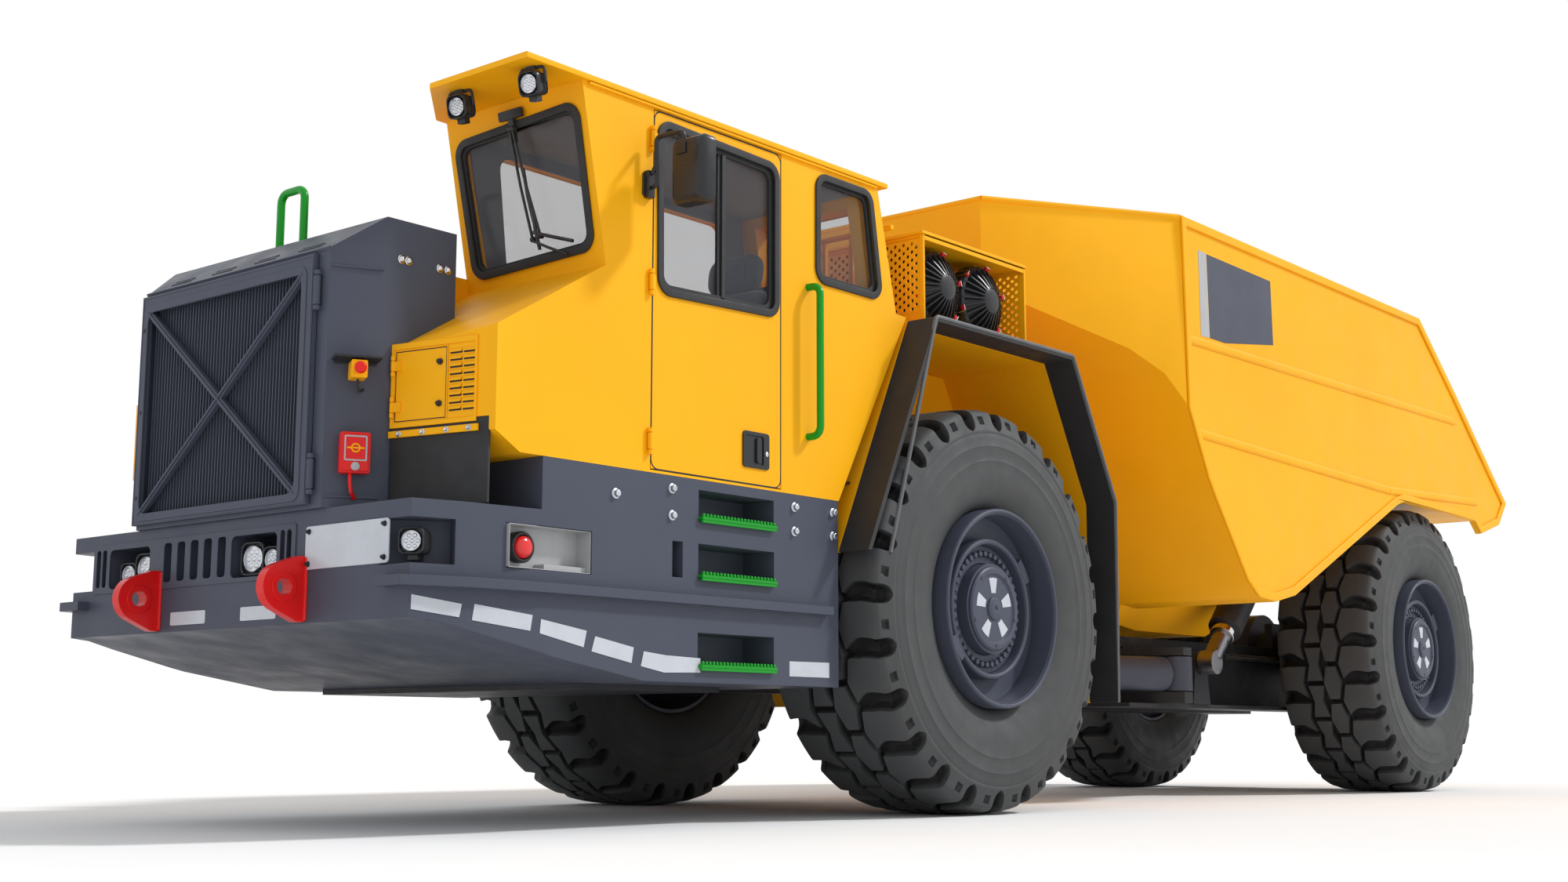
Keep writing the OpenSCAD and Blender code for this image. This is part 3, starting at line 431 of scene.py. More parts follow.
class Form:
    """One piece's mesh, gathered from solids that stand at the place `at`."""

    def __init__(self, at=None):
        self.points, self.faces = [], []
        self.at = at or Matrix()

    def vert(self, x, y, z):
        self.points.append(self.at @ Vector((x, y, z)))
        return len(self.points) - 1

    def skin(self, loops):
        """Quads between closed loops of as many points, with a cap over the first and the last."""
        rows = [[self.vert(*p) for p in loop] for loop in loops]
        count = len(rows[0])
        for a, b in zip(rows, rows[1:]):
            for i in range(count):
                j = (i + 1) % count
                self.faces.append((a[i], a[j], b[j], b[i]))
        self.faces += [rows[0][::-1], rows[-1]]

    def prism(self, outline, z0, z1):
        self.skin([[(x, y, z) for x, y in outline] for z in (z0, z1)])

    def box(self, low, high):
        self.prism(rectangle(low[0], high[0], low[1], high[1]), low[2], high[2])

    def plate(self, outline, holes, z0, z1):
        """A prism with holes through it, whose outlines run the same way round as its own."""
        rings = [list(outline)] + [list(hole)[::-1] for hole in holes]
        points = [p for ring in rings for p in ring]
        low = [self.vert(x, y, z0) for x, y in points]
        high = [self.vert(x, y, z1) for x, y in points]
        for a, b, c in tessellate_polygon([[Vector((x, y, 0)) for x, y in ring] for ring in rings]):
            self.faces += [(high[a], high[b], high[c]), (low[c], low[b], low[a])]
        start = 0
        for ring in rings:
            for i in range(len(ring)):
                a, b = start + i, start + (i + 1) % len(ring)
                self.faces.append((low[a], low[b], high[b], high[a]))
            start += len(ring)

    def perforated(self, x0, x1, y0, y1, pitch, radius, t):
        """A sheet of rows of round holes, each second column half a pitch up; pitch is (x, y)."""
        columns, rows = int((x1 - x0) / pitch[0]), int((y1 - y0) / pitch[1])
        wide, high = (x1 - x0) / columns, (y1 - y0) / rows
        for i in range(columns):
            cx = x0 + (i + 0.5) * wide
            lift = high / 2 if i % 2 else 0
            for j in range(rows - i % 2):
                self.hole_cell(cx, y0 + lift + (j + 0.5) * high, wide / 2, high / 2, radius, t)
            if lift:
                self.box((cx - wide / 2, y0, -t), (cx + wide / 2, y0 + lift, 0))
                self.box((cx - wide / 2, y1 - lift, -t), (cx + wide / 2, y1, 0))

    def hole_cell(self, cx, cy, half_x, half_y, radius, t):
        """One rectangle of a perforated sheet with its round hole."""
        edge = [(1, 0), (1, 1), (0, 1), (-1, 1), (-1, 0), (-1, -1), (0, -1), (1, -1)]
        outer = [(cx + half_x * u, cy + half_y * v) for u, v in edge]
        inner = circle(radius, 8, cx, cy)
        rings = [[self.vert(x, y, z) for x, y in ring] for ring in (outer, inner) for z in (0, -t)]
        top, under, top_hole, under_hole = rings
        for i in range(8):
            j = (i + 1) % 8
            self.faces += [(top[i], top[j], top_hole[j], top_hole[i]),
                           (top_hole[i], top_hole[j], under_hole[j], under_hole[i]),
                           (under_hole[i], under_hole[j], under[j], under[i])]

    def lathe(self, profile, turns=32, squareness=2.0):
        """Revolves (radius, height) pairs about local z. A higher squareness makes rounded squares."""
        loops = []
        for r, z in profile:
            ring = []
            for i in range(turns):
                a = math.tau * (i + 0.5) / turns
                c, s = math.cos(a), math.sin(a)
                k = max(r, 1e-4) / (abs(c) ** squareness + abs(s) ** squareness) ** (1 / squareness)
                ring.append((k * c, k * s, z))
            loops.append(ring)
        self.skin(loops)

    def hoop(self, radius, thick, z, turns=64, sides=8):
        """A round ring about local z."""
        ring = circle(radius, turns)
        self.tube([(x, y, z) for x, y in ring + ring[:2]], thick, sides)

    def tube(self, points, radius, sides=12):
        """A round bar that follows points."""
        path = [Vector(p) for p in points]
        turn = [math.tau * k / sides for k in range(sides)]
        normal = (path[1] - path[0]).orthogonal().normalized()
        loops = []
        for i, at in enumerate(path):
            ahead = path[min(i + 1, len(path) - 1)] - path[max(i - 1, 0)]
            ahead.normalize()
            normal = (normal - ahead * normal.dot(ahead)).normalized()
            across = ahead.cross(normal)
            loops.append([at + (normal * math.cos(a) + across * math.sin(a)) * radius for a in turn])
        self.skin(loops)

    def bolt(self, r, height):
        """A hexagon bolt head on its washer."""
        self.lathe([(r * 1.45, 0), (r * 1.45, height * 0.18), (r * 1.3, height * 0.26)], 20)
        self.lathe([(r, height * 0.1), (r, height * 0.85), (r * 0.86, height)], 6)

    def done(self, name, look, bevel=0.0, sharp=40, body="front"):
        """Makes the object, on its body and in its material."""
        mesh = bpy.data.meshes.new(name)
        mesh.from_pydata(self.points, [], self.faces)
        gather = bmesh.new()
        gather.from_mesh(mesh)
        bmesh.ops.recalc_face_normals(gather, faces=gather.faces)
        gather.to_mesh(mesh)
        gather.free()
        return place_mesh(mesh, name, body, look, bevel, sharp)


def place_mesh(mesh, name, body, look, bevel=0.0, sharp=40):
    """Makes a mesh's object, with smooth shading up to the angle sharp and edges rounded by bevel."""
    mesh.polygons.foreach_set("use_smooth", [True] * len(mesh.polygons))
    mesh.set_sharp_from_angle(angle=math.radians(sharp))
    obj = add_object(name, mesh)
    material, slot = MATERIALS[look]
    mesh.materials.append(material)
    if bevel:
        round_edges(obj, bevel)
    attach(obj, body)
    return obj


BEVEL_ANGLE = 38


def round_edges(obj, width):
    """Rounds an object's edges sharper than BEVEL_ANGLE, by a modifier."""
    soft = obj.modifiers.new("soft_edges", "BEVEL")
    soft.width = width
    soft.segments = 2
    soft.limit_method = "ANGLE"
    soft.angle_limit = math.radians(BEVEL_ANGLE)


WELD = 0.00005
NODE_BEVEL = 0.005
CRISP_ANGLE = 32


def dress_nodes():
    """Gives each CAD node its material, and rounds its sharp edges by modifiers alone."""
    for part in frame["record"]["subparts"]:
        obj, slot = NODES[part["node"]], part["material_slot"]
        obj.data.materials.clear()
        look = "rod_steel" if "rod" in part["node"] else slot
        obj.data.materials.append(MATERIALS[look][0])
        weld = obj.modifiers.new("weld", "WELD")
        weld.merge_threshold = WELD
        if slot != "glass":
            round_edges(obj, NODE_BEVEL)
        for poly in obj.data.polygons:
            poly.use_smooth = True
        split = obj.modifiers.new("crisp_edges", "EDGE_SPLIT")
        split.split_angle = math.radians(CRISP_ANGLE)
        even = obj.modifiers.new("even_normals", "WEIGHTED_NORMAL")
        even.keep_sharp = True


# ---- wheels ----

PITCHES = 24
GROOVE_DEPTH = 0.044
# Where the zigzag grooves run and fade out along y, and how far they swing
ZIGZAG_Y = 0.125
ZIGZAG_END = 0.215
ZIGZAG = 0.022
# Half widths in pitches: the groove between hexagons, the scoop on the shoulder, the recess between scoops
GROOVE = 0.070
SCOOP = 0.185
RECESS = 0.10
RECESS_DEPTH = 0.018
RECESS_RADII = (0.947, 0.985)
# The scoop: length along y, bow in pitches, added depth, radius where its end begins, length of the end
SCOOP_REACH = 0.19
SCOOP_BOW = 0.13
SCOOP_DEEPER = 0.026
SCOOP_END_R = 0.972
SCOOP_END = 0.055
# Depth from which the painted shade in the grooves is full, near black
FULL_SHADE_DEPTH = 0.030
SIDEWALL_TURNS = 120

# Half section of the tread: radius, distance from the tyre's middle, depth of a zigzag groove there
TREAD_ROWS = [
    (1.0375, 0.0, 0.044), (1.0375, 0.010, 0.044), (1.0375, 0.017, 0.0), (1.0372, 0.035, 0.0),
    (1.0370, 0.088, 0.0), (1.0365, 0.108, 0.0), (1.0365, 0.115, 0.044), (1.0365, 0.135, 0.044),
    (1.0362, 0.142, 0.0), (1.0358, 0.160, 0.0), (1.0350, 0.185, 0.0), (1.0335, 0.215, 0.0),
    (1.0310, 0.250, 0.0), (1.0265, 0.285, 0.0), (1.0180, 0.318, 0.0), (1.0080, 0.334, 0.0),
    (0.9950, 0.342, 0.0), (0.9880, 0.3445, 0.0), (0.9840, 0.346, 0.0), (0.9660, 0.3515, 0.0),
    (0.9480, 0.3565, 0.0), (0.9440, 0.358, 0.0), (0.9300, 0.362, 0.0), (0.9150, 0.367, 0.0),
    (0.9060, 0.3690, 0.0), (0.8960, 0.3655, 0.0)]

# Half section of the sidewall with its two thin ridges: radius, distance from the tyre's middle
SIDEWALL = [
    (0.9100, 0.360), (0.9000, 0.3655), (0.8700, 0.3705), (0.8370, 0.3735), (0.8330, 0.3757),
    (0.8290, 0.3740), (0.7800, 0.3760), (0.7620, 0.3762), (0.7570, 0.3784), (0.7520, 0.3764),
    (0.7100, 0.3760), (0.6600, 0.3700), (0.6150, 0.3580), (0.5700, 0.3420), (0.5400, 0.3250),
    (0.5200, 0.3100), (0.5090, 0.2850)]

# Columns across a groove: place from edge to edge, share of its depth
ACROSS = [(-1.0, 0.0), (-0.86, 0.51), (-0.5, 0.87), (0.0, 1.0), (0.5, 0.87), (0.86, 0.51), (1.0, 0.0)]
BETWEEN = (0.07, 0.33, 0.67, 0.93)


def wave(phase):
    """1 at whole phases, -1 half way between."""
    return abs((phase % 1.0) * 2 - 1) * 2 - 1


def zigzag(y, phase):
    """How far a tread point shifts outwards along y, so that the grooves run between hexagons."""
    reach = abs(y)
    if reach > ZIGZAG_END:
        return 0.0
    if reach < ZIGZAG_Y:
        share = reach / ZIGZAG_Y * 2 - 1
    else:
        share = (ZIGZAG_END - reach) / (ZIGZAG_END - ZIGZAG_Y)
    return share * ZIGZAG * wave(phase)


def lateral(side, reach, radius, at_half):
    """Half width, depth and shift of the groove at phase 0 or at half a pitch; widths in pitches."""
    scooped = at_half == (side < 0)
    if reach < ZIGZAG_Y:
        return GROOVE, (0.0 if scooped else GROOVE_DEPTH), 0.0
    if not scooped:
        inside = RECESS_RADII[0] < radius < RECESS_RADII[1]
        return RECESS, (RECESS_DEPTH if inside else 0.0), 0.0
    out = min(1.0, (reach - ZIGZAG_Y) / SCOOP_REACH)
    bow = SCOOP_BOW * math.sin(math.pi * 0.8 * out)
    end = max(0.0, min(1.0, (SCOOP_END_R - radius) / SCOOP_END))
    width = (GROOVE + (SCOOP - GROOVE) * min(1.0, out * 2.2)) * max(0.12, math.sqrt(1 - end ** 2))
    return width, (GROOVE_DEPTH + SCOOP_DEEPER * out) * (1 - end ** 4), bow


def tread_columns(side, reach, radius):
    """Phases of one pitch's columns in a row, each with the depth of the lateral groove there."""
    first = lateral(side, reach, radius, False)
    second = lateral(side, reach, radius, True)
    out = []
    for centre, (half, depth, bow), after in ((0.0, first, second), (0.5, second, first)):
        out += [(centre + bow + half * t, depth * share) for t, share in ACROSS]
        start = centre + bow + half
        stop = centre + 0.5 + after[2] - after[0]
        out += [(start + (stop - start) * share, 0.0) for share in BETWEEN]
    return out


def tread_grid():
    """Points of the tread row by row, and how much painted shade each gets, more the deeper it lies: the
    grid's lines follow the grooves.
    """
    rows = [(r, -y, d) for r, y, d in TREAD_ROWS[:0:-1]] + TREAD_ROWS
    points, groove_shade = [], []
    for k, (radius, y, groove) in enumerate(rows):
        r0, y0, _ = rows[max(k - 1, 0)]
        r1, y1, _ = rows[min(k + 1, len(rows) - 1)]
        inward = Vector((-(y1 - y0), r1 - r0)).normalized()
        columns = tread_columns(1 if y > 0 else -1, abs(y), radius)
        for i in range(PITCHES):
            for phase, depth in columns:
                deep = max(depth, groove)
                angle = math.tau * (i + phase) / PITCHES
                r = radius + inward.x * deep
                across = y + zigzag(y, phase) * (1 if y >= 0 else -1) + inward.y * deep
                points.append((r * math.cos(angle), across, r * math.sin(angle)))
                groove_shade.append(min(1.0, deep / FULL_SHADE_DEPTH))
    return points, groove_shade, len(rows)


def grid_faces(start, rows, count, flip=False):
    """Quads between closed rows of count points, the first point at start."""
    faces = []
    for k in range(rows - 1):
        row = start + k * count
        for i in range(count):
            a, b = row + i, row + (i + 1) % count
            face = (a, b, b + count, a + count)
            faces.append(face[::-1] if flip else face)
    return faces


def tread_mesh():
    """One tyre about y: its tread and two revolved sidewalls."""
    points, groove_shade, rows = tread_grid()
    faces = grid_faces(0, rows, len(points) // rows)
    for side in (1, -1):
        faces += grid_faces(len(points), len(SIDEWALL), SIDEWALL_TURNS, side < 0)
        for r, y in SIDEWALL:
            points += [(x, y * side, z) for x, z in circle(r, SIDEWALL_TURNS)]
    mesh = bpy.data.meshes.new("tyre")
    mesh.from_pydata(points, [], faces)
    # Painted shade in the grooves, as a value on each point
    groove = mesh.attributes.new("groove", "FLOAT", "POINT")
    groove.data.foreach_set("value", groove_shade + [0.0] * (len(points) - len(groove_shade)))
    return mesh


WHEELS = [(end, side) for end in ("front", "rear") for side in ("left", "right")]


def wheel_middle(end, side):
    return Vector((FRONT_X if end == "front" else REAR_X, TRACK_Y * SIDES[side], AXLE_Z))


def add_tyres():
    """The treaded tyres, in place of the solids' plain ones."""
    for end, side in WHEELS:
        mesh = tread_mesh()
        mirror = Matrix.Diagonal((1, SIDES[side], 1, 1))
        mesh.transform(Matrix.Translation(wheel_middle(end, side)) @ mirror)
        if SIDES[side] < 0:
            mesh.flip_normals()
        tyre = place_mesh(mesh, f"tread_{end}_{side}", f"wheel_{end}_{side}", "tyre", sharp=32)
        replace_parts(tyre, f"tyre_{end}_{side}")


def sector(r0, r1, angle, wide, steps=6):
    """A ring's sector round angle, as a polygon."""
    turns = [angle + wide * (k / steps - 0.5) for k in range(steps + 1)]
    return ([(r0 * math.cos(a), r0 * math.sin(a)) for a in turns]
            + [(r1 * math.cos(a), r1 * math.sin(a)) for a in reversed(turns)])


# Sections about the axle, radius and distance from the tyre's middle, each with its count of facets
HUB_SECTIONS = [
    ([(0.231, 0.19), (0.231, 0.258), (0.238, 0.264), (0.326, 0.264), (0.334, 0.255), (0.334, 0.19)], 72),
    ([(0.215, 0.315), (0.215, 0.330), (0.205, 0.338), (0.180, 0.338), (0.172, 0.328)], 64),
    ([(0.060, 0.327), (0.058, 0.336), (0.045, 0.342), (0.015, 0.342), (0.012, 0.336)], 32)]
CAP_TURN = 0.35


def add_hub(end, side, place):
    """Lock ring, hub cap, their hoops and two lugs."""
    ring, *cap = HUB_SECTIONS
    disc = Form(place)
    disc.lathe(*ring)
    disc.hoop(0.4960, 0.0125, 0.385, 96)
    disc.hoop(0.345, 0.016, 0.302, 96)
    for section, turns in cap:
        disc.lathe(section, turns)
    for k, angle in enumerate((0.6, 0.6 + math.pi)):
        disc.prism(sector(0.352, 0.392, angle, 0.36), 0.262 + k * 0.001, 0.318)
    disc.done(f"hub_{end}_{side}", "slate_paint", 0.002, body=f"wheel_{end}_{side}")


def add_wheel_middles():
    """Hub, circle of bolts and the cap's five screws and reflecting sectors on each rim."""
    for end, side in WHEELS:
        place = facing(wheel_middle(end, side), Y * SIDES[side])
        body = f"wheel_{end}_{side}"
        add_hub(end, side, place)
        bolts = Form()
        for x, y in circle(0.284, 40):
            bolts.at = shifted(place, x, y, 0.262)
            bolts.lathe([(0.0195, 0), (0.0195, 0.004)], 16)
            bolts.lathe([(0.0165, 0.003), (0.0165, 0.021), (0.013, 0.024)], 6)
        marks = Form(place)
        for k in range(5):
            angle = math.tau * (k + 0.5) / 5 + CAP_TURN
            bolts.at = shifted(place, 0.188 * math.cos(angle), 0.188 * math.sin(angle), 0.330)
            bolts.lathe([(0.010, 0), (0.010, 0.010), (0.008, 0.012)], 16)
            marks.prism(sector(0.080, 0.158, math.tau * k / 5 + CAP_TURN, 0.46), 0.3275, 0.3305)
        bolts.done(f"wheel_bolts_{end}_{side}", "slate_paint", body=body)
        marks.done(f"wheel_marks_{end}_{side}", "reflector", body=body)


# ---- bumper and side of the front frame ----

# Lamps in the bumper's face and at its corner: y, z, radius of the bezel
BUMPER_LAMPS = [(-0.775, 1.096, 0.050), (-0.639, 1.116, 0.064), (0.153, 1.113, 0.064), (0.289, 1.102, 0.050)]
CORNER_LAMP = (1.145, 1.124, 0.047)
ROOF_LAMPS_Y = (0.785, 1.235)
ROOF_LAMP_R = 0.046
LAMP_SQUARENESS = 4.5


def lamp_lens(lens, r):
    """A reflector bowl with seven small domes, facing local z."""
    lens.lathe([(r, 0.0), (r, 0.006), (r * 0.93, 0.010), (r * 0.88, -0.004), (r * 0.3, -0.012)], 32)
    bowl = lens.at
    for x, y in [(0, 0)] + circle(0.56 * r, 6):
        lens.at = shifted(bowl, x, y, -0.008)
        lens.lathe([(r * 0.25, 0), (r * 0.25, 0.006), (r * 0.19, 0.011), (r * 0.08, 0.014)], 16)


def lamp_case(case, r, depth):
    """A finned housing behind the lens, its bezel with four screws, and its foot."""
    case.lathe([(r * 0.7, -depth), (r * 0.95, -depth * 0.55), (r * 1.12, -0.012), (r * 1.14, 0.004),
                (r * 1.08, 0.012), (r * 0.98, 0.012), (r * 0.96, -0.006)], 40, LAMP_SQUARENESS)
    for k in range(4):
        fin, z = r * 1.12 - k * 0.002, -0.022 - k * depth * 0.16
        case.lathe([(fin, z), (fin, z - 0.005)], 40, LAMP_SQUARENESS)
    case.box((-r * 0.45, -r * 1.55, -depth * 0.6), (r * 0.45, -r * 1.0, -0.012))
    bezel = case.at
    for u, v in ((1, 1), (1, -1), (-1, 1), (-1, -1)):
        case.at = shifted(bezel, r * 0.84 * u, r * 0.84 * v, 0.010)
        case.lathe([(0.0055, 0), (0.0055, 0.003), (0.003, 0.004)], 10)


def add_lamps():
    """Bumper, corner and roof lamps, in place of the solids' plain ones."""
    lens, case, arms = Form(), Form(), Form()
    lamps = [(facing(front(BUMPER_X - 0.030, y, z), X + Y * 0.10), r, 0.10) for y, z, r in BUMPER_LAMPS]
    y, z, r = CORNER_LAMP
    lamps.append((facing(front(BUMPER_X - 0.045, y, z), X + Y * 0.55), r, 0.12))
    for y in ROOF_LAMPS_Y:
        r = ROOF_LAMP_R
        arms.at = facing(front(3.070, y, 3.046), X * 0.96 + Y * 0.16 - Z * 0.22)
        lamps.append((arms.at, r, 0.080))
        half, top = r * 1.35, r * 1.45
        bow = [(-half, 0, -0.03), (-half, top, -0.03), (half, top, -0.03), (half, 0, -0.03)]
        arms.tube(smooth_path(bow, 0.02), 0.007, 8)
        arms.box((-0.022, r * 1.30, -0.045), (0.022, r * 1.62, -0.015))
    for place, r, depth in lamps:
        lens.at = case.at = place
        lamp_lens(lens, r * 0.9)
        lamp_case(case, r, depth)
    lenses = lens.done("lamp_lenses", "lamp_silver")
    case.done("lamp_cases", "black_plastic", 0.0015)
    arms.done("lamp_brackets", "black_paint", 0.001)
    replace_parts(lenses, "lamps")


# Floor, four walls and shelf of the marker's recess from its lower front corner: x0, x1, z0, z1, height
MARKER_RECESS = [(0.002, 0.446, 0.002, 0.175, 0.002), (0.002, 0.446, 0.002, 0.005, 0.084),
                 (0.002, 0.446, 0.172, 0.175, 0.084), (0.002, 0.005, 0.002, 0.175, 0.084),
                 (0.443, 0.446, 0.002, 0.175, 0.084), (0.210, 0.443, 0.005, 0.028, 0.060)]


def add_marker():
    """Red side marker lamp in its pale recess."""
    ring = Form(facing(front(3.062, SIDE_Y - 0.088, 1.130), Y))
    ring.lathe([(0.062, 0.0), (0.064, 0.040), (0.058, 0.048), (0.050, 0.048), (0.047, 0.036),
                (0.045, 0.004)], 40)
    ring.done("marker_ring", "black_plastic")
    dome = Form(ring.at)
    dome.lathe([(0.046, 0.0), (0.046, 0.044), (0.042, 0.056), (0.030, 0.066), (0.012, 0.070)], 40)
    dome.done("marker_lens", "red_lens")
    lining = Form(facing(front(3.172, SIDE_Y - 0.0885, 1.040), Y))
    for x0, x1, z0, z1, height in MARKER_RECESS:
        lining.box((x0, z0, 0), (x1, z1, height))
    lining.done("marker_recess", "light_grey", 0.003)


# Reflecting tape on each side, corners as x, z
SIDE_TAPE = [
    [(3.572, 0.916), (3.368, 0.888), (3.378, 0.837), (3.573, 0.860)],
    [(3.313, 0.891), (3.041, 0.860), (3.051, 0.798), (3.323, 0.828)],
    [(2.999, 0.846), (2.748, 0.811), (2.764, 0.744), (3.005, 0.790)],
    [(2.699, 0.791), (2.475, 0.754), (2.487, 0.689), (2.719, 0.729)],
    [(2.414, 0.740), (2.280, 0.728), (2.064, 0.722), (2.063, 0.661), (2.289, 0.655), (2.431, 0.678)],
    [(1.460, 0.728), (1.170, 0.730), (1.170, 0.660), (1.460, 0.660)]]

# The front frame's side as seen from above: x, y
SIDE_LINE = [(1.0, SIDE_Y), (3.005, SIDE_Y), (3.340, SIDE_Y - 0.040), (BUMPER_X, 1.190)]


def side_y_at(x):
    """Distance of the front frame's side from the middle at x."""
    for (x0, y0), (x1, y1) in zip(SIDE_LINE, SIDE_LINE[1:]):
        if x <= x1:
            return y0 + (y1 - y0) * (x - x0) / (x1 - x0)
    return SIDE_LINE[-1][1]


def add_tape():
    """Reflecting strips on both sides and on the bumper's face."""
    tape = Form()
    for side in (1, -1):
        for corners in SIDE_TAPE:
            loops = []
            for lift in (-0.001, 0.0025):
                loops.append([front(x, (side_y_at(x) + lift) * side, z) for x, z in corners])
            tape.skin(loops)
    for y0, y1 in ((-0.390, -0.133), (0.119, 0.361)):
        tape.at = BUMPER_FACE
        tape.prism(rounded(rectangle(y0, y1, 0.857, 0.913), 0.006, 2), -0.001, 0.0025)
    tape.done("reflecting_tape", "reflector")


def add_plate():
    """Blank number plate on its four bolts."""
    plate = Form(BUMPER_FACE)
    plate.prism(rounded(rectangle(0.548, 1.070, 1.042, 1.215), 0.016), -0.001, 0.007)
    plate.done("number_plate", "reflector", 0.002)
    bolts = Form()
    for y in (0.572, 1.046):
        for z in (1.064, 1.193):
            bolts.at = shifted(plate.at, y, z, 0.006)
            bolts.bolt(0.008, 0.016)
    bolts.done("plate_bolts", "black_paint")


# Bolts of the cab's base: x, z
BASE_BOLTS = [(2.593, 1.387), (2.251, 1.442), (2.249, 1.326), (1.424, 1.438), (1.424, 1.325), (1.137, 1.438),
              (1.138, 1.326)]


def add_base_bolts():
    """Bolts along the foot of the cab, on both sides."""
    bolts = Form()
    for side in (1, -1):
        for x, z in BASE_BOLTS:
            bolts.at = facing(front(x, SIDE_Y * side, z), Y * side)
            bolts.bolt(0.016, 0.022)
    bolts.done("base_bolts", "zinc", 0.0015)


# Bumper pockets: y0, y1, z0, z1
POCKETS = [(-1.002, -0.908, 1.035, 1.219), (-0.893, -0.563, 1.030, 1.214), (0.034, 0.360, 1.030, 1.214),
           (0.372, 0.456, 1.042, 1.212)]
SLOT_MIDDLES = (-0.430, -0.329, -0.230, -0.132, -0.030)
# Openings of the face plate: the slots beside the lamps, and the lamps' own, as y0, y1
SIDE_SLOTS = [(-0.996, -0.962), (-0.948, -0.914), (0.377, 0.408), (0.421, 0.452)]
LAMP_OPENINGS = [(-0.888, -0.568), (0.039, 0.355)]


def add_pocket_shade():
    """Black sheets on the floors of the bumper's pockets and behind its slots: painted shade."""
    dark = Form(facing(front(BUMPER_X - 0.186, 0, 0), X))
    for y0, y1, z0, z1 in POCKETS:
        dark.box((y0 + 0.002, z0 + 0.002, 0), (y1 - 0.002, z1 - 0.002, 0.003))
    # Painted shade behind each slot of the face plate
    for y in SLOT_MIDDLES:
        dark.box((y - 0.039, 1.038, 0), (y + 0.039, 1.226, 0.003))
    dark.done("pocket_shade", "black_paint")


def add_slotted_face():
    """Face plate over the bumper's right and middle part, with its round-ended slots and lamp openings."""
    face = Form(BUMPER_FACE)
    slots = [(y - 0.029, y + 0.029) for y in SLOT_MIDDLES] + SIDE_SLOTS
    holes = [rounded(rectangle(y0, y1, 1.046, 1.214), 0.014, 3) for y0, y1 in slots]
    holes += [rounded(rectangle(y0, y1, 1.036, 1.210), 0.026, 4) for y0, y1 in LAMP_OPENINGS]
    face.plate(rounded(rectangle(-1.020, 0.480, 1.018, 1.236), 0.012), holes, -0.001, 0.005)
    face.done("slotted_face", "slate_paint", 0.0015)


# Middle of a tow lug's hole ahead of the bumper, and radius of the tip round it: x, z
LUG_HOLE = (0.105, 0.970)
LUG_TIP_R = 0.096


def lug_outline():
    """Side view of a tow lug: x ahead of the bumper, z."""
    hole_x, hole_z = LUG_HOLE
    turns = [math.radians(a) for a in range(-64, 69, 12)]
    tip = [(hole_x + LUG_TIP_R * math.cos(a), hole_z + LUG_TIP_R * math.sin(a)) for a in turns]
    return [(0.0, 0.836), (0.040, 0.836)] + tip + [(0.040, 1.096), (0.0, 1.096)]


def add_tow_lugs():
    """Red tow lugs with a rounded tip, a raised boss round the pin's hole and a weld to the bumper."""
    lugs = Form()
    hole, boss = circle(0.034, 28, *LUG_HOLE), circle(0.058, 28, *LUG_HOLE)
    for y in (0.530, -0.500):
        lugs.at = facing(front(BUMPER_X, y, 0), Y) @ FORWARD
        lugs.plate(lug_outline(), [hole], -0.025, 0.025)
        for z0, z1 in ((0.0251, 0.031), (-0.031, -0.0251)):
            lugs.plate(boss, [hole], z0, z1)
        for z in (0.027, -0.027):
            lugs.tube([(0.004, 0.842, z), (0.004, 1.090, z)], 0.009, 8)
    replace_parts(lugs.done("tow_lug_plates", "red_paint", 0.006), "tow_lugs")


# Steps on the left: x0, x1, z
STEPS = [(1.570, 2.078, 1.322), (1.568, 2.078, 1.069), (1.568, 2.078, 0.681)]
TEETH = 22


def add_treads():
    """Green step treads: an edge bar with a row of teeth, and a sheet with three rows of studs."""
    tread = Form()
    for x0, x1, z in STEPS:
        tread.at = AT_FRONT
        tread.box((x0 + 0.004, SIDE_Y + 0.008, z - 0.012), (x1 - 0.004, SIDE_Y + 0.022, z + 0.014))
        tread.box((x0 + 0.004, SIDE_Y - 0.180, z + 0.010), (x1 - 0.004, SIDE_Y + 0.020, z + 0.0145))
        for k in range(TEETH):
            x = x0 + 0.016 + (x1 - x0 - 0.032) * k / (TEETH - 1)
            for row in range(4):
                tread.at = Matrix.Translation(front(x, SIDE_Y + 0.015 - row * 0.045, z + 0.013))
                stud = [(0.0085, 0), (0.0070, 0.005), (0.004, 0.005)]
                tread.lathe(stud if row else [(0.0085, 0), (0.0075, 0.012), (0.004, 0.016)], 8)
    tread.done("tread_teeth", "green_paint", 0.001)


# ---- cowl ----

CHAMFER = Vector((0.480, 0.877, 0))


def chamfer_at(along, z, out=0.0):
    """A point of the cowl's slanted side face, along it from its front edge."""
    return front(3.605, 0.660, z) + Vector((-0.877, 0.480, 0)) * along + CHAMFER * out


CHAMFER_FACE = facing(chamfer_at(0.0, 0.0), CHAMFER)
# The radiator door's opening: y0, y1, z0, z1
HATCH = (-0.612, 0.517, 1.345, 2.252)
FINS = 52


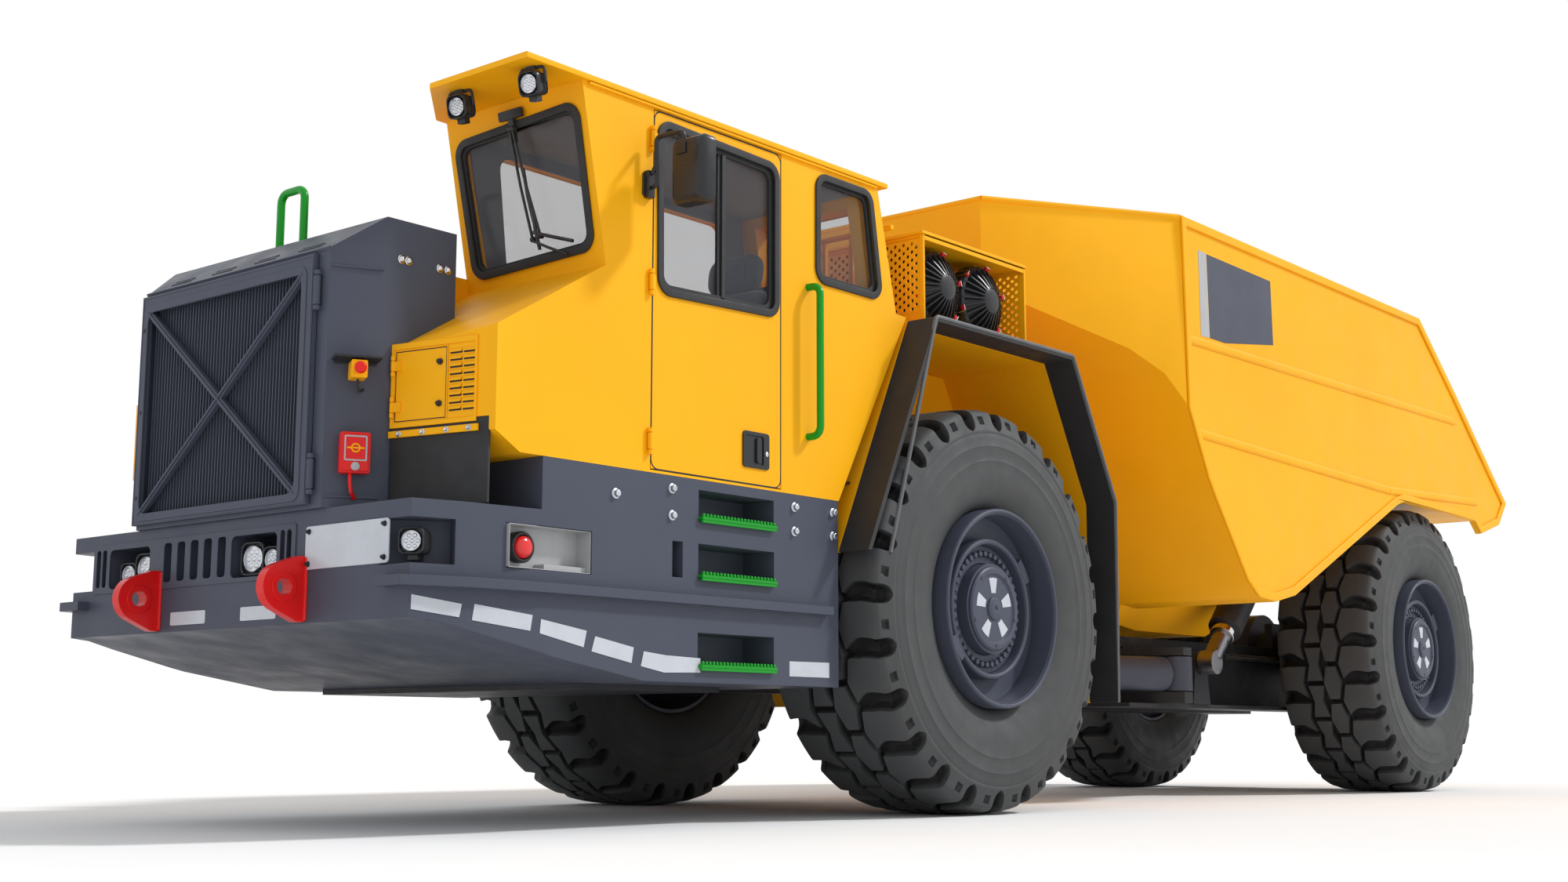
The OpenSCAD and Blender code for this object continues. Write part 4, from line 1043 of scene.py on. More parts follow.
def add_radiator_grille():
    """Upright fins, the door's rounded opening with its raised rim, and the cross brace over it."""
    y0, y1, z0, z1 = HATCH
    fins = Form(facing(front(COWL_X - 0.012, 0, 0), X))
    for k in range(FINS):
        y = y0 + 0.012 + (y1 - y0 - 0.024) * k / (FINS - 1)
        fins.box((y - 0.0025, z0 - 0.015, -0.040), (y + 0.0025, z1 + 0.015, 0.0))
    fins.done("radiator_fins", "slate_paint")
    door = Form(facing(front(COWL_X + 0.001, 0, 0), X))
    rim = rounded(rectangle(y0 - 0.030, y1 + 0.030, z0 - 0.030, z1 + 0.030), 0.045)
    opening = rounded(rectangle(y0 + 0.004, y1 - 0.004, z0 + 0.004, z1 - 0.004), 0.05)
    door.plate(rim, [opening], 0.020, 0.028)
    door.plate(rectangle(-0.655, 0.585, 1.305, 2.320), [rectangle(-0.647, 0.577, 1.313, 2.312)], 0.022, 0.027)
    middle = facing(front(COWL_X + 0.001, (y0 + y1) / 2, (z0 + z1) / 2), X)
    half = math.hypot(y1 - y0, z1 - z0) / 2
    for turn in (1, -1):
        door.at = middle @ Matrix.Rotation(turn * math.atan2(z1 - z0, y1 - y0), 4, "Z")
        door.box((-half, -0.004, 0.022), (half, 0.004, 0.031))
    door.done("radiator_door_rims", "slate_paint", 0.002, body="radiator_door")


def add_cowl_details():
    """Slots of the sloping lip as black patches of painted shade, the lip's edge, edges of the slanted side,
    dome studs and the door's latches.
    """
    lip = facing(front(3.605, 0, 2.344), X * 0.149 + Z * 0.199, X * -0.199 + Z * 0.149)
    slots, sheet = Form(lip), Form(lip)
    for y in (-0.465, -0.155, 0.155, 0.465):
        # Each slot is a flat black patch: painted shade in its opening
        slots.prism(rounded(rectangle(y - 0.070, y + 0.070, 0.052, 0.074), 0.010, 3), -0.001, 0.0015)
        for v in (0.048, 0.076):
            sheet.box((y - 0.075, v, -0.001), (y + 0.075, v + 0.004, 0.004))
    sheet.box((-0.660, -0.010, -0.012), (0.660, 0.004, 0.006))
    slots.done("lip_slots", "black_paint")
    for z in (1.330, 2.270):
        sheet.at = facing(chamfer_at(0.0, z), CHAMFER)
        sheet.box((0.012, -0.006, -0.001), (0.220, 0.004, 0.006))
    sheet.done("cowl_edges", "slate_paint", 0.002)
    studs = Form()
    for x in (3.332, 3.295, 3.129, 3.086):
        for side in (1, -1):
            studs.at = facing(front(x, 0.769 * side, 2.327), Y * side)
            studs.lathe([(0.019, 0), (0.019, 0.004), (0.015, 0.006), (0.013, 0.012), (0.008, 0.016)], 20)
    studs.done("cowl_studs", "chrome")
    latches = Form()
    for z in (1.42, 1.80, 2.17):
        latches.at = facing(front(COWL_X + 0.02, -0.630, z), X)
        latches.bolt(0.010, 0.012)
    latches.done("door_latches", "black_paint", 0.001, body="radiator_door")


def add_safety_boxes():
    """Red fire call box with its hose, and the red button of the emergency stop."""
    red = Form(CHAMFER_FACE)
    red.prism(rounded(rectangle(0.060, 0.180, 1.420, 1.585), 0.010), 0.0, 0.052)
    red.prism(rounded(rectangle(0.068, 0.172, 1.428, 1.577), 0.008), 0.052, 0.058)
    hose = [(0.105, 1.425, 0.030), (0.105, 1.385, 0.034), (0.112, 1.345, 0.026), (0.130, 1.322, 0.004)]
    red.at = Matrix()
    red.tube(smooth_path([chamfer_at(*p) for p in hose], 0.012), 0.008, 10)
    red.at = facing(chamfer_at(0.120, 1.836, 0.088), CHAMFER)
    red.lathe([(0.011, 0.0), (0.011, 0.014), (0.024, 0.018), (0.025, 0.028), (0.018, 0.036)], 28)
    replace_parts(red.done("safety_box", "red_paint", 0.002), "safety_boxes")


def add_box_marks():
    """Plain frame, disc and valve mark on the fire call box."""
    face = CHAMFER_FACE
    marks = Form(face)
    outer = rounded(rectangle(0.075, 0.165, 1.468, 1.570), 0.006)
    inner = rounded(rectangle(0.081, 0.159, 1.474, 1.564), 0.004)
    marks.plate(outer, [inner], 0.0575, 0.0605)
    marks.at = shifted(face, 0.120, 1.446, 0.057)
    marks.lathe([(0.017, 0.0), (0.017, 0.006), (0.012, 0.008)], 24)
    marks.done("safety_box_marks", "light_grey", 0.0005)
    valve = Form(shifted(face, 0.120, 1.520, 0.057))
    valve.hoop(0.016, 0.0035, 0.003, 24, 6)
    valve.box((-0.034, -0.003, 0.001), (0.034, 0.003, 0.005))
    valve.done("safety_box_valve", "yellow_paint")


def add_stop_box():
    """Yellow case of the emergency stop, under its shelf, and its lead."""
    stop = Form(CHAMFER_FACE)
    stop.prism(rounded(rectangle(0.088, 0.152, 1.800, 1.872), 0.006), 0.0, 0.088)
    stop.done("stop_case", "yellow_paint", 0.002)
    shelf = Form(stop.at)
    shelf.box((0.020, 1.880, 0.0), (0.210, 1.890, 0.092))
    shelf.box((0.030, 1.866, 0.0), (0.200, 1.881, 0.006))
    shelf.done("stop_shelf", "black_paint", 0.002)
    lead = [(0.120, 1.803, 0.045), (0.120, 1.775, 0.045), (0.130, 1.752, 0.030), (0.150, 1.765, 0.003)]
    cable = Form()
    cable.tube(smooth_path([chamfer_at(*p) for p in lead], 0.010), 0.0055, 8)
    cable.done("stop_lead", "rubber")


# ---- service cabinet in the nose ----

NOSE = Vector((0.980, 0.199, 0))


def nose_place():
    """The cabinet's front: x outwards from the cowl, y up, z out of the face."""
    return facing(front(3.366, 0.769, 0), NOSE)


def add_cabinet_front():
    """Raised frame, louvred panel beside the door with painted shade in its gaps, latches, sill and lower
    rail with its bolts.
    """
    place = nose_place()
    sheet = Form(place)
    sheet.plate(rectangle(0.006, 0.440, 1.615, 1.962), [rectangle(0.020, 0.428, 1.634, 1.938)], 0.0, 0.007)
    sheet.box((0.287, 1.634, 0.0), (0.293, 1.938, 0.005))
    sheet.box((0.004, 1.575, 0.0), (0.452, 1.603, 0.012))
    sheet.done("cabinet_frame", "yellow_paint", 0.002)
    louvres, gaps = Form(place), Form(place)
    for x in (0.302, 0.370):
        for k in range(9):
            z = 1.664 + k * 0.029
            # A black strip under each louvre: painted shade in the gap
            gaps.box((x, z, 0.0), (x + 0.060, z + 0.012, 0.0012))
            section = [(z + 0.010, 0.0005), (z + 0.023, 0.0005), (z + 0.009, 0.010), (z + 0.005, 0.010)]
            louvres.skin([[(x + u, v, w) for v, w in section] for u in (0.0, 0.060)])
    louvres.done("cabinet_louvres", "yellow_paint", 0.0008)
    gaps.done("louvre_gaps", "black_paint")
    knobs = Form()
    for z in (1.700, 1.870):
        knobs.at = shifted(place, 0.252, z, 0.0)
        knobs.lathe([(0.013, 0.0), (0.013, 0.006), (0.009, 0.008), (0.009, 0.016), (0.006, 0.018)], 20)
    knobs.done("cabinet_latches", "black_plastic", body="cabinet_door")
    seam = Form(place)
    inner = rectangle(0.0285, 0.2815, 1.6435, 1.9265)
    seam.plate(rectangle(0.026, 0.284, 1.641, 1.929), [inner], -0.010, 0.0008)
    seam.done("cabinet_seam", "black_paint")
    bolts = Form()
    for x in (0.060, 0.180, 0.300, 0.410):
        bolts.at = shifted(place, x, 1.589, 0.012)
        bolts.bolt(0.009, 0.012)
    bolts.done("sill_bolts", "zinc", 0.001)


# ---- cab ----

# The windscreen: local x across to the left, y up the glass, z out of it
SCREEN = Matrix.Translation(front(2.668, 0, 2.350)) @ Matrix(
    ((0.0, 0.198, 0.980, 0.0), (1.0, 0.0, 0.0, 0.0), (0.0, 0.980, -0.198, 0.0), (0.0, 0.0, 0.0, 1.0)))


# Wiper arms and blades on the screen: x0, y0, x1, y1, radius
WIPERS = [(0.852, 0.660, 0.905, 0.160, 0.0065), (0.868, 0.660, 0.955, 0.175, 0.0065),
          (0.905, 0.480, 0.925, 0.240, 0.008), (0.915, 0.200, 1.145, 0.125, 0.008),
          (0.905, 0.165, 1.100, 0.075, 0.0065), (0.930, 0.300, 0.940, 0.120, 0.008)]


def add_wipers():
    """Motor plate under the visor, the wipers' arms and blades, and their pivots."""
    wiper = Form(SCREEN)
    wiper.box((0.790, 0.705, 0.014), (0.930, 0.745, 0.034))
    wiper.box((0.845, 0.600, 0.014), (0.875, 0.715, 0.030))
    for x0, y0, x1, y1, r in WIPERS:
        wiper.tube([(x0, y0, 0.034), ((x0 + x1) / 2, (y0 + y1) / 2, 0.038), (x1, y1, 0.030)], r, 8)
    for x, y in ((0.852, 0.662), (0.868, 0.662), (0.906, 0.170), (0.950, 0.180)):
        wiper.at = shifted(SCREEN, x, y, 0.014)
        wiper.lathe([(0.013, 0), (0.013, 0.022), (0.009, 0.028)], 16)
    wiper.done("wipers", "black_plastic", 0.001)


def add_window_frames():
    """Inner rims of the panes and the upright bar of the door's sliding window."""
    glass = left_face(SIDE_Y - 0.024)
    door = Form(glass)
    outer = [(1.560, 2.330), (2.335, 2.300), (2.345, 3.050), (1.560, 3.030)]
    inner = [(1.594, 2.362), (2.303, 2.335), (2.311, 3.016), (1.594, 2.998)]
    door.plate(rounded(outer, 0.060), [rounded(inner, 0.045)], 0.0, 0.016)
    door.box((1.905, 2.340, 0.0), (1.930, 3.015, 0.020))
    door.box((1.932, 2.340, -0.006), (1.950, 3.015, 0.010))
    door.done("door_window_frame", "rubber", 0.002, body="cab_door")
    shell = Form(glass)
    outer = [(0.755, 2.555), (1.245, 2.555), (1.243, 3.065), (0.835, 3.065)]
    inner = [(0.793, 2.585), (1.216, 2.585), (1.214, 3.036), (0.860, 3.036)]
    shell.plate(rounded(outer, 0.055), [rounded(inner, 0.045)], 0.0, 0.016)
    shell.at = SCREEN
    outer = [(0.495, 0.070), (1.225, 0.090), (1.235, 0.690), (0.480, 0.660)]
    inner = [(0.520, 0.096), (1.200, 0.114), (1.209, 0.664), (0.506, 0.636)]
    shell.plate(rounded(outer, 0.055), [rounded(inner, 0.045)], -0.020, 0.001)
    shell.done("window_frames", "rubber", 0.002)


def add_cab_side():
    """Door seam, black handle recess with its lock, and the roof's gutter."""
    side = left_face()
    seam = Form(side)
    outer = rounded(rectangle(1.519, 2.386, 1.512, 3.105), 0.045)
    inner = rounded(rectangle(1.525, 2.380, 1.518, 3.099), 0.040)
    seam.plate(outer, [inner], -0.012, 0.0008)
    seam.done("door_seam", "black_paint")
    handle = Form(side)
    outer = rounded(rectangle(1.610, 1.790, 1.589, 1.755), 0.016)
    handle.plate(outer, [rounded(rectangle(1.650, 1.775, 1.606, 1.738), 0.012)], 0.0, 0.008)
    handle.prism(rounded(rectangle(1.648, 1.777, 1.604, 1.740), 0.012), 0.0, 0.0015)
    handle.prism(rounded(rectangle(1.668, 1.700, 1.615, 1.730), 0.010), 0.001, 0.012)
    handle.done("door_handle", "black_plastic", 0.002, body="cab_door")
    lock = Form(facing(front(1.630, SIDE_Y + 0.007, 1.660), Y))
    lock.lathe([(0.011, 0.0), (0.011, 0.004), (0.008, 0.006), (0.004, 0.0065)], 20)
    lock.done("door_lock", "zinc", body="cab_door")
    gutter = Form(side)
    gutter.box((0.780, 3.108, 0.0), (2.790, 3.120, 0.014))
    gutter.done("roof_gutter", "yellow_paint", 0.003)


# Corners of the bent rails on the cab's side and on the cowl
GRAB_RAILS = [
    [(1.320, SIDE_Y - 0.002, 2.500), (1.320, SIDE_Y + 0.075, 2.500), (1.320, SIDE_Y + 0.075, 1.780),
     (1.320, SIDE_Y - 0.002, 1.780)],
    [(3.330, 0.090, 2.485), (3.330, 0.090, 2.760), (3.330, -0.080, 2.760), (3.330, -0.080, 2.485)]]


def add_grab_rails():
    """Green bent tubes in place of the solids' mitred ones."""
    rails = Form()
    for corners in GRAB_RAILS:
        rails.tube(smooth_path([front(*corner) for corner in corners], 0.045), 0.018, 16)
    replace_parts(rails.done("green_rails", "green_paint"), "grab_rails")


# Bends of the mirror's upper arm and its stay, from the cab's side, each with its radii of bend and of tube
MIRROR_ARMS = [
    ([(2.425, 0.030, 2.795), (2.425, 0.055, 2.830), (2.425, 0.055, 2.955), (2.420, 0.205, 2.955),
      (2.405, 0.205, 2.890)], 0.022, 0.011),
    ([(2.425, 0.030, 2.735), (2.425, 0.060, 2.735), (2.425, 0.060, 2.840)], 0.018, 0.009)]
# The mirror's case in loops from its back to its glass: x, inset
MIRROR_CASE = [(2.432, 0.030), (2.426, 0.012), (2.405, 0.0), (2.352, 0.0), (2.347, 0.006), (2.3465, 0.014),
               (2.353, 0.018)]


def add_mirror():
    """Square mirror on its bent arm, ahead of the cab's door."""
    arm = Form(AT_FRONT)
    arm.box((2.405, SIDE_Y, 2.690), (2.447, SIDE_Y + 0.030, 2.810))
    arm.box((2.395, SIDE_Y, 2.700), (2.457, SIDE_Y + 0.010, 2.800))
    for bends, bend, radius in MIRROR_ARMS:
        path = [Vector((x, SIDE_Y + y, z)) for x, y, z in bends]
        arm.tube(smooth_path(path, bend), radius, 12)
    arm.box((2.396, SIDE_Y + 0.180, 2.850), (2.440, SIDE_Y + 0.235, 2.900))
    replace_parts(arm.done("mirror_arm", "black_plastic", 0.003), "side_mirror")
    case = Form(AT_FRONT)
    y0, y1 = SIDE_Y + 0.140, SIDE_Y + 0.335
    loops = []
    for x, inset in MIRROR_CASE:
        edge = rectangle(y0 + inset, y1 - inset, 2.632 + inset * 1.4, 2.925 - inset)
        loops.append([(x, y, z) for y, z in rounded(edge, 0.026, 4)])
    case.skin(loops)
    case.done("mirror_case", "black_plastic")
    face = Form(AT_FRONT)
    ring = rounded(rectangle(y0 + 0.019, y1 - 0.019, 2.655, 2.906), 0.020, 4)
    face.skin([[(x, y, z) for y, z in ring] for x in (2.3535, 2.3515)])
    face.done("mirror_face", "chrome")


# Windows of the cabin's far wall, corners as x, z
FAR_PANES = [[(1.750, 2.330), (2.480, 2.330), (2.560, 3.010), (1.750, 3.010)],
             [(1.000, 2.330), (1.600, 2.330), (1.600, 3.010), (1.000, 3.010)]]


def add_cab_lining():
    """Lining of the cabin's far wall and ceiling, its floor mat, and the red box on the dash."""
    wall = Form(left_face(0.472))
    outline = [(0.900, 1.610), (2.595, 1.610), (2.595, 2.360), (2.745, 3.062), (0.880, 3.062), (0.800, 2.520)]
    wall.plate(outline, [rounded(pane, 0.060) for pane in FAR_PANES], 0.0, 0.010)
    wall.at = AT_FRONT
    wall.box((0.880, 0.475, 3.062), (2.740, SIDE_Y - 0.055, 3.070))
    wall.done("cab_lining", "lining", 0.001)
    mat = Form(AT_FRONT)
    mat.box((0.890, 0.480, 1.601), (2.595, SIDE_Y - 0.055, 1.612))
    mat.done("floor_mat", "rubber", 0.002)
    add_steering_wheel()
    red = Form(AT_FRONT)
    red.prism(rounded(rectangle(2.50, 2.58, 0.93, 1.10), 0.012), 2.300, 2.345)
    red.done("dash_switch_box", "red_paint", 0.003)


def add_steering_wheel():
    """The driver's wheel with three spokes, on its column."""
    wheel = Form(facing(front(2.240, 0.855, 2.270), X * -0.45 + Z * 0.89))
    wheel.hoop(0.200, 0.015, 0.0, 48, 10)
    for k in range(3):
        a = math.tau * k / 3 + 0.5
        wheel.tube([(0, 0, -0.02), (0.1 * math.cos(a), 0.1 * math.sin(a), -0.012),
                    (0.2 * math.cos(a), 0.2 * math.sin(a), 0)], 0.011, 8)
    wheel.lathe([(0.040, -0.045), (0.045, -0.012), (0.030, 0.004)], 24)
    wheel.tube([(0, 0, -0.30), (0, 0, -0.02)], 0.022, 12)
    wheel.done("steering_wheel", "black_plastic", 0.001)


def puffed(outline, low, high, crown, steps=7):
    """Loops of a cushion over an outline: round edges, and both faces crowned towards the middle."""
    middle_x = sum(p[0] for p in outline) / len(outline)
    middle_y = sum(p[1] for p in outline) / len(outline)
    loops = []
    for k in range(steps * 2 + 1):
        a = math.pi * (k / (steps * 2) - 0.5)
        inset = 1 - (1 - math.cos(a)) ** 1.6 * 0.93
        z = (low + high) / 2 + math.sin(a) * ((high - low) / 2 + crown * (1 - inset))
        loops.append([(middle_x + (x - middle_x) * inset, middle_y + (y - middle_y) * inset, z)
                      for x, y in outline])
    return loops


# Seat cushions: name, middle of the back or the base, face's direction, width, length, thickness
CUSHIONS = [("seat_base", (1.610, 0.855, 1.975), (0.10, 0, 1), 0.500, 0.500, 0.130),
            ("seat_back", (1.395, 0.855, 2.290), (1, 0, 0.13), 0.480, 0.460, 0.120),
            ("headrest", (1.345, 0.855, 2.620), (1, 0, 0.13), 0.330, 0.190, 0.100)]


def add_seat():
    """Driver's seat: padded cushions on a moulded shell over its base."""
    shell = Form(AT_FRONT)
    shell.box((1.370, 0.650, 1.612), (1.760, 1.060, 1.700))
    shell.box((1.420, 0.700, 1.700), (1.710, 1.010, 1.880))
    shell.box((1.350, 0.620, 1.870), (1.850, 1.090, 1.915))
    back = [(0.0, 0.640), (0.0, 1.070), (-0.045, 1.050), (-0.045, 0.660)]
    shell.skin([[(1.395 - 0.24 * t + u, y, 1.90 + 0.70 * t) for u, y in back] for t in (0.0, 0.5, 1.0)])
    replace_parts(shell.done("seat_shell", "black_plastic", 0.012), "seat")
    for name, at, out, width, length, thick in CUSHIONS:
        up = Z if abs(out[2]) < 0.5 else -X
        pad = Form(facing(front(*at), Vector(out), up))
        outline = rounded(rectangle(-width / 2, width / 2, -length / 2, length / 2), 0.07, 5)
        pad.skin(puffed(outline, -thick / 2, thick / 2, 0.018))
        for x in (-width * 0.30, width * 0.30):
            end, middle = thick * 0.47, thick * 0.53
            pad.tube([(x, -length * 0.36, end), (x, 0, middle), (x, length * 0.36, end)], 0.006, 8)
        cushion = pad.done(name, "seat_cloth", sharp=60)
        soften = cushion.modifiers.new("soften", "SUBSURF")
        soften.levels = 1
        soften.render_levels = 1


# ---- fenders, air box and filters ----

# Greatest distance between the bolts of a fender's edge
BOLT_PITCH = 0.28
# A fender's outer edge, seen from the side: x, z
FENDER_EDGE = [(0.918, 1.255), (0.515, 2.475), (-0.790, 2.475), (-1.215, 1.700), (-1.187, 0.580)]


def add_fender_beads():
    """Bead along the outer edge of each fender's rubber, grey as a painted highlight, and the bolts that
    clamp it.
    """
    bead, bolts = Form(), Form()
    for side in (1, -1):
        line = [front(x, (RUBBER_Y - 0.004) * side, z) for x, z in FENDER_EDGE]
        bead.tube(smooth_path(line, 0.03), 0.011, 8)
        for (x0, z0), (x1, z1) in zip(FENDER_EDGE, FENDER_EDGE[1:]):
            ahead = Vector((x1 - x0, 0, z1 - z0))
            count = max(2, int(ahead.length / BOLT_PITCH))
            out = ahead.cross(Y).normalized() * -1
            for k in range(count):
                at = front(x0, (SIDE_Y + 0.030) * side, z0) + ahead * ((k + 0.5) / count)
                bolts.at = facing(at, out, Y)
                bolts.bolt(0.012, 0.014)
    # Its grey is a painted highlight on the fenders' edges
    bead.done("fender_beads", "rubber_lip")
    bolts.done("fender_bolts", "black_paint", 0.001)


def add_light_strips():
    """Red and white segments on each fender's rear edge."""
    red, white = Form(), Form()
    for side in (1, -1):
        for k in range(5):
            z = 0.98 + k * 0.125
            strip = white if k == 4 else red
            strip.at = facing(front(-1.203, 1.38 * side, z), -X + Z * 0.02)
            strip.prism(rounded(rectangle(-0.035, 0.035, -0.052, 0.052), 0.008, 3), 0.0, 0.012)
    red.done("side_lights_red", "red_lens", 0.002)
    white.done("side_lights_white", "reflector", 0.002)


# The air cleaners' housing: x0, x1, y0, y1, z0, z1
AIR = (-0.576, 0.383, 0.480, 1.300, 2.475, 2.960)


def add_air_box():
    """Perforated sheet housing of the air cleaners: open to the side, flanged all round."""
    x0, x1, y0, y1, z0, z1 = AIR
    shell = Form(AT_FRONT)
    shell.box((x0, y0, z0 + 0.001), (x1, y1, z0 + 0.012))
    shell.box((x0, y0, z1 - 0.012), (x1, y1, z1))
    shell.box((x0 + 0.001, y0, z0), (x1 - 0.001, y0 + 0.012, z1))
    shell.box((x0 - 0.006, y0 - 0.006, z1 - 0.002), (x1 + 0.018, y1 + 0.006, z1 + 0.014))
    for z in (z0 + 0.001, z1 - 0.031):
        shell.box((x0 + 0.012, y1 - 0.010, z), (x1 - 0.012, y1, z + 0.030))
    panel = Form()
    for x, out, s in ((x1, X, 1), (x0, -X, -1)):
        shell.at = panel.at = facing(front(x, 0, 0), out)
        low, high = sorted((y0 * s, y1 * s))
        field = (*sorted(((y0 + 0.040) * s, (y1 - 0.038) * s)), z0 + 0.074, z1 - 0.022)
        flange = rectangle(low + 0.022, high - 0.022, z0 + 0.022, z1 - 0.018)
        rim = rectangle(low, high, z0, z1)
        shell.plate(rim, [rectangle(*field)], -0.010, 0.0)
        shell.plate(rim, [flange], 0.0, 0.006)
        panel.perforated(*field, (0.0262, 0.0425), 0.0105, 0.008)
    piece = shell.done("air_box_shell", "yellow_paint", 0.002)
    panel.done("air_box_mesh", "yellow_paint")
    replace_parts(piece, "air_box")
    bars = Form(AT_FRONT)
    for y in (0.62, 0.80, 0.98, 1.16):
        bars.box((0.560, y - 0.012, 2.480), (0.585, y + 0.012, 2.960))
    bars.box((0.560, 0.520, 2.950), (0.585, 1.240, 2.975))
    bars.done("air_box_guard", "yellow_paint", 0.003)


# Section of a filter's cover: radius, distance from its foot
FILTER_COVER = [(0.180, 0.0), (0.183, 0.60), (0.194, 0.62), (0.200, 0.63), (0.200, 0.690), (0.193, 0.706),
                (0.178, 0.713), (0.170, 0.702), (0.165, 0.690), (0.080, 0.748), (0.072, 0.772),
                (0.052, 0.780), (0.018, 0.782)]
# A rib along the cover's face: radius, distance from the foot
FILTER_RIB = [(0.070, 0.766), (0.120, 0.742), (0.165, 0.714), (0.188, 0.700)]
# A clip's wire bail: radius, sideways, distance from the foot
BAIL = [(0.205, -0.020, 0.640), (0.207, -0.020, 0.700), (0.203, -0.014, 0.723), (0.203, 0.014, 0.723),
        (0.207, 0.020, 0.700), (0.205, 0.020, 0.640)]


def turned(place, share):
    """The place turned by a share of a full turn about its z."""
    return place @ Matrix.Rotation(math.tau * share, 4, "Z")


def add_air_filters():
    """Ribbed black covers with a raised rim, a hub and radiating ribs; red clips with wire bails."""
    covers, clips, wires = Form(), Form(), Form()
    for x in (0.140, -0.272):
        place = facing(front(x, 0.510, 2.722), Y)
        covers.at = place
        covers.lathe(FILTER_COVER, 72)
        for k in range(24):
            covers.at = turned(place, k / 24)
            covers.skin([[(r, -0.0065, z - 0.02), (r, 0.0065, z - 0.02), (r, 0.0045, z + 0.012),
                          (r, -0.0045, z + 0.012)] for r, z in FILTER_RIB])
            covers.skin([[(0.196, -0.006, z), (0.196, 0.006, z), (0.204, 0.004, z), (0.204, -0.004, z)]
                         for z in (0.625, 0.690)])
        for k in range(6):
            clips.at = wires.at = turned(place, (k + 0.3) / 6)
            clips.box((0.186, -0.013, 0.700), (0.204, 0.013, 0.720))
            wires.tube(BAIL, 0.003, 6)
    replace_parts(covers.done("filter_covers", "black_plastic"), "air_filters")
    clips.done("filter_clips", "red_paint", 0.002)
    wires.done("filter_bails", "chrome")


# ---- dump box ----

# Border of the box's side as seen from the side: x, z from the rear axle
BOX_EDGE = [(3.729, 2.331), (3.510, 1.930), (3.437, 1.833), (3.041, 1.346), (2.888, 1.249), (2.671, 1.232),
            (2.383, 1.288), (0.640, 2.034), (0.492, 2.076), (-0.903, 2.056), (-1.024, 1.968), (-1.420, 2.070),
            (-1.612, 2.259), (-0.604, 3.038), (0.038, 3.508), (3.748, 3.508)]
# Stiffeners on the side: from x, z to x, z, width
BOX_RIBS = [(3.700, 2.755, -0.603, 2.802, 0.066), (3.600, 2.194, 0.751, 2.132, 0.066),
            (0.751, 2.132, -0.978, 2.211, 0.066)]
# Width of the border
BORDER = 0.055


def inset_loop(points, width):
    """A closed loop moved inwards by width, for points that run clockwise."""
    out = []
    for i, point in enumerate(points):
        here = Vector(point)
        before, after = Vector(points[i - 1]), Vector(points[(i + 1) % len(points)])
        a, b = (here - before).normalized(), (after - here).normalized()
        normal_a, normal_b = Vector((a.y, -a.x)), Vector((b.y, -b.x))
        mean = (normal_a + normal_b).normalized()
        out.append(tuple(here + mean * width / max(0.35, mean.dot(normal_a))))
    return out


def add_box_trim():
    """Pressed border and stiffeners on the box's sides."""
    trim = Form()
    inner = inset_loop(BOX_EDGE, BORDER)
    for side in (1, -1):
        trim.at = facing(rear(0, BOX_Y * side, 0), Y * side) @ Matrix.Diagonal((-side, 1, 1, 1))
        trim.plate(BOX_EDGE, [inner], -0.001, 0.016)
        for x0, z0, x1, z1, width in BOX_RIBS:
            along = Vector((x1 - x0, z1 - z0)).normalized()
            n = Vector((-along.y, along.x)) * width / 2
            foot, ridge = [[(x0 - n.x * s, z0 - n.y * s), (x0 + n.x * s, z0 + n.y * s),
                            (x1 + n.x * s, z1 + n.y * s), (x1 - n.x * s, z1 - n.y * s)] for s in (1, 0.5)]
            trim.skin([[(*p, -0.001) for p in foot], [(*p, 0.014) for p in ridge]])
    piece = trim.done("box_trim", "yellow_paint", 0.007, body="bed")
    even = piece.modifiers.new("even_normals", "WEIGHTED_NORMAL")
    even.keep_sharp = False


def add_box_rim():
    """Round bar along the top of the box's sides and front."""
    rim = Form()
    for side in (1, -1):
        corner = rear(3.748, (BOX_Y - 0.012) * side, 3.500)
        rim.tube([rear(0.045, (BOX_Y - 0.012) * side, 3.500), corner], 0.018)
        rim.tube([corner, rear(4.850, 0.847 * side, 3.500)], 0.018)
    rim.tube([rear(4.846, -0.847, 3.500), rear(4.846, 0.847, 3.500)], 0.018)
    rim.done("box_rim", "yellow_paint", body="bed")


# Section of the plate that carries the floor out to the tail's tip: x, z
TAIL_LIP = [(-1.405, 2.158), (-1.420, 2.116), (-1.612, 2.255), (-1.612, 2.262), (-1.585, 2.283)]


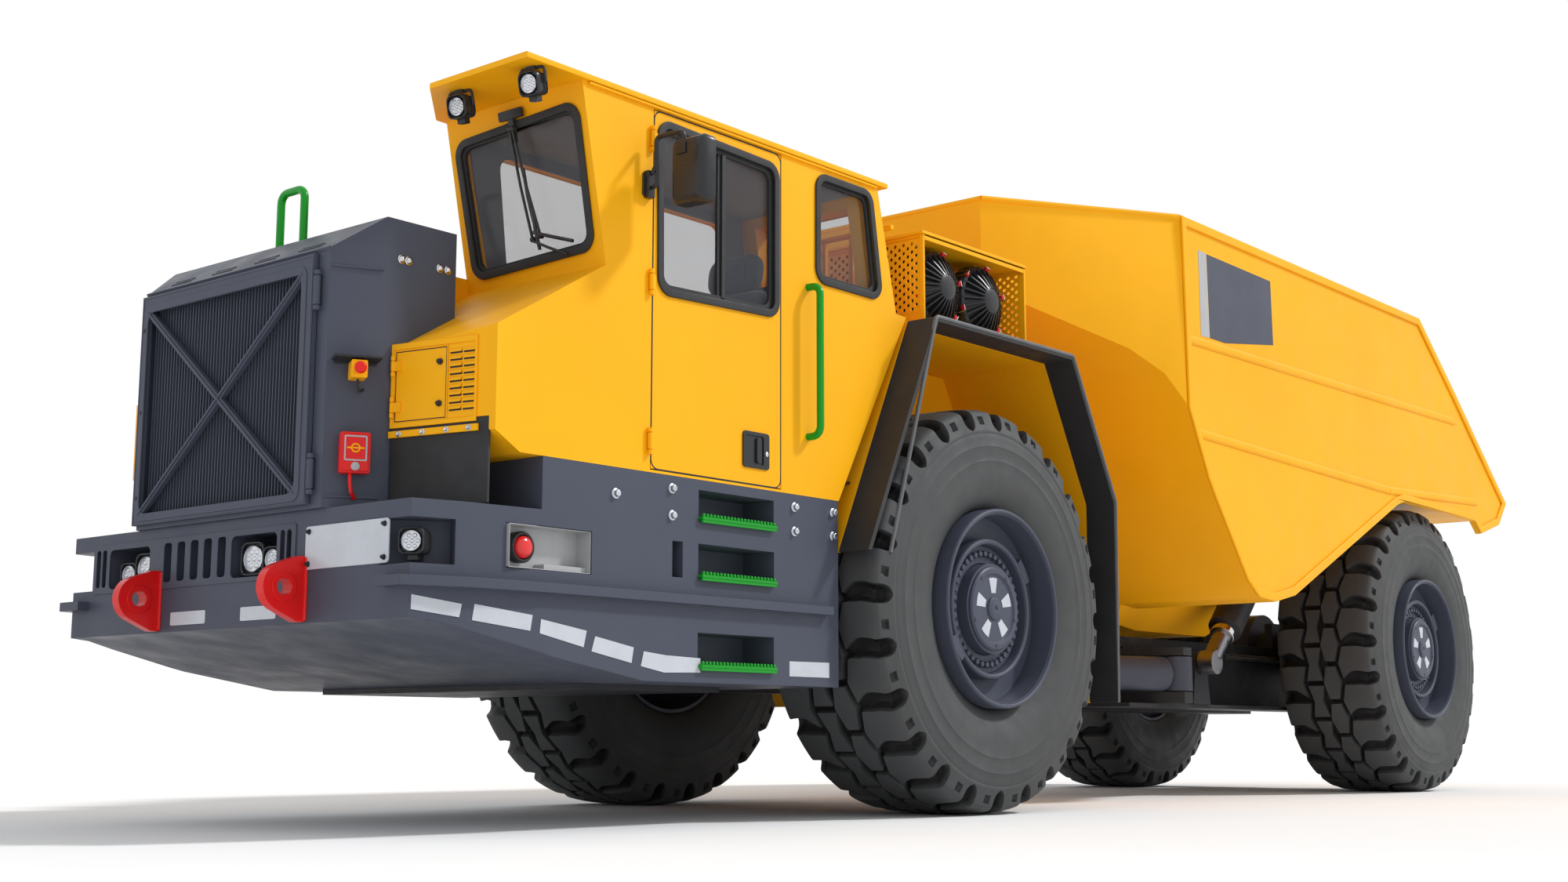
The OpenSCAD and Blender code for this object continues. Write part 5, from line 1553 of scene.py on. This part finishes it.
def add_tail_lip():
    """Plate between the sides, from the end of the box's floor to the tail."""
    lip = Form(facing(rear(0, 0, 0), Y) @ FORWARD)
    half = BOX_Y - 0.0355
    lip.prism(TAIL_LIP, -half, half)
    lip.done("tail_lip", "yellow_paint", 0.003, body="bed")


# Dark plain patch and its pale strip on the box's left side: name, look, corners as x, z
PATCHES = [
    ("box_patch", "slate_paint",
     [(3.420, 3.332), (2.543, 3.325), (2.536, 2.902), (3.212, 2.806), (3.411, 2.806)]),
    ("box_patch_strip", "light_grey", [(3.530, 3.338), (3.428, 3.334), (3.418, 2.806), (3.530, 2.800)])]


def add_box_patch():
    """The patch and its strip, just proud of the box's side."""
    for name, look, corners in PATCHES:
        patch = Form()
        patch.skin([[rear(x, BOX_Y + lift, z) for x, z in corners] for lift in (-0.001, 0.002)])
        patch.done(name, look, body="bed")


# ---- rear frame ----


def add_pipes():
    """Two hydraulic pipes with their clips along each rail of the rear frame."""
    pipes = Form()
    for side in (1, -1):
        for k in range(2):
            y, z = (0.412 + k * 0.035) * side, 0.980 - k * 0.02
            pipes.at = Matrix()
            pipes.tube([rear(-0.30, y, z), rear(1.0, y, z), rear(2.60, y, z)], 0.014, 10)
            for x in (0.2, 1.2, 2.2):
                pipes.at = Matrix.Translation(rear(x, y, z))
                pipes.box((-0.02, -0.022, -0.022), (0.02, 0.022, 0.022))
    pipes.done("rear_pipes", "black_paint", 0.002, body="rear")


# ---- assembly ----

add_camera()
add_light()
add_floor()
dress_nodes()
for build in (add_tyres, add_wheel_middles, add_lamps, add_marker, add_tape, add_plate, add_base_bolts,
              add_pocket_shade, add_slotted_face, add_tow_lugs, add_treads, add_radiator_grille,
              add_cowl_details, add_safety_boxes, add_box_marks, add_stop_box, add_cabinet_front, add_wipers,
              add_window_frames, add_cab_side, add_grab_rails, add_mirror, add_cab_lining, add_seat,
              add_fender_beads, add_light_strips, add_air_box, add_air_filters, add_box_trim, add_box_rim,
              add_tail_lip, add_box_patch, add_pipes):
    build()
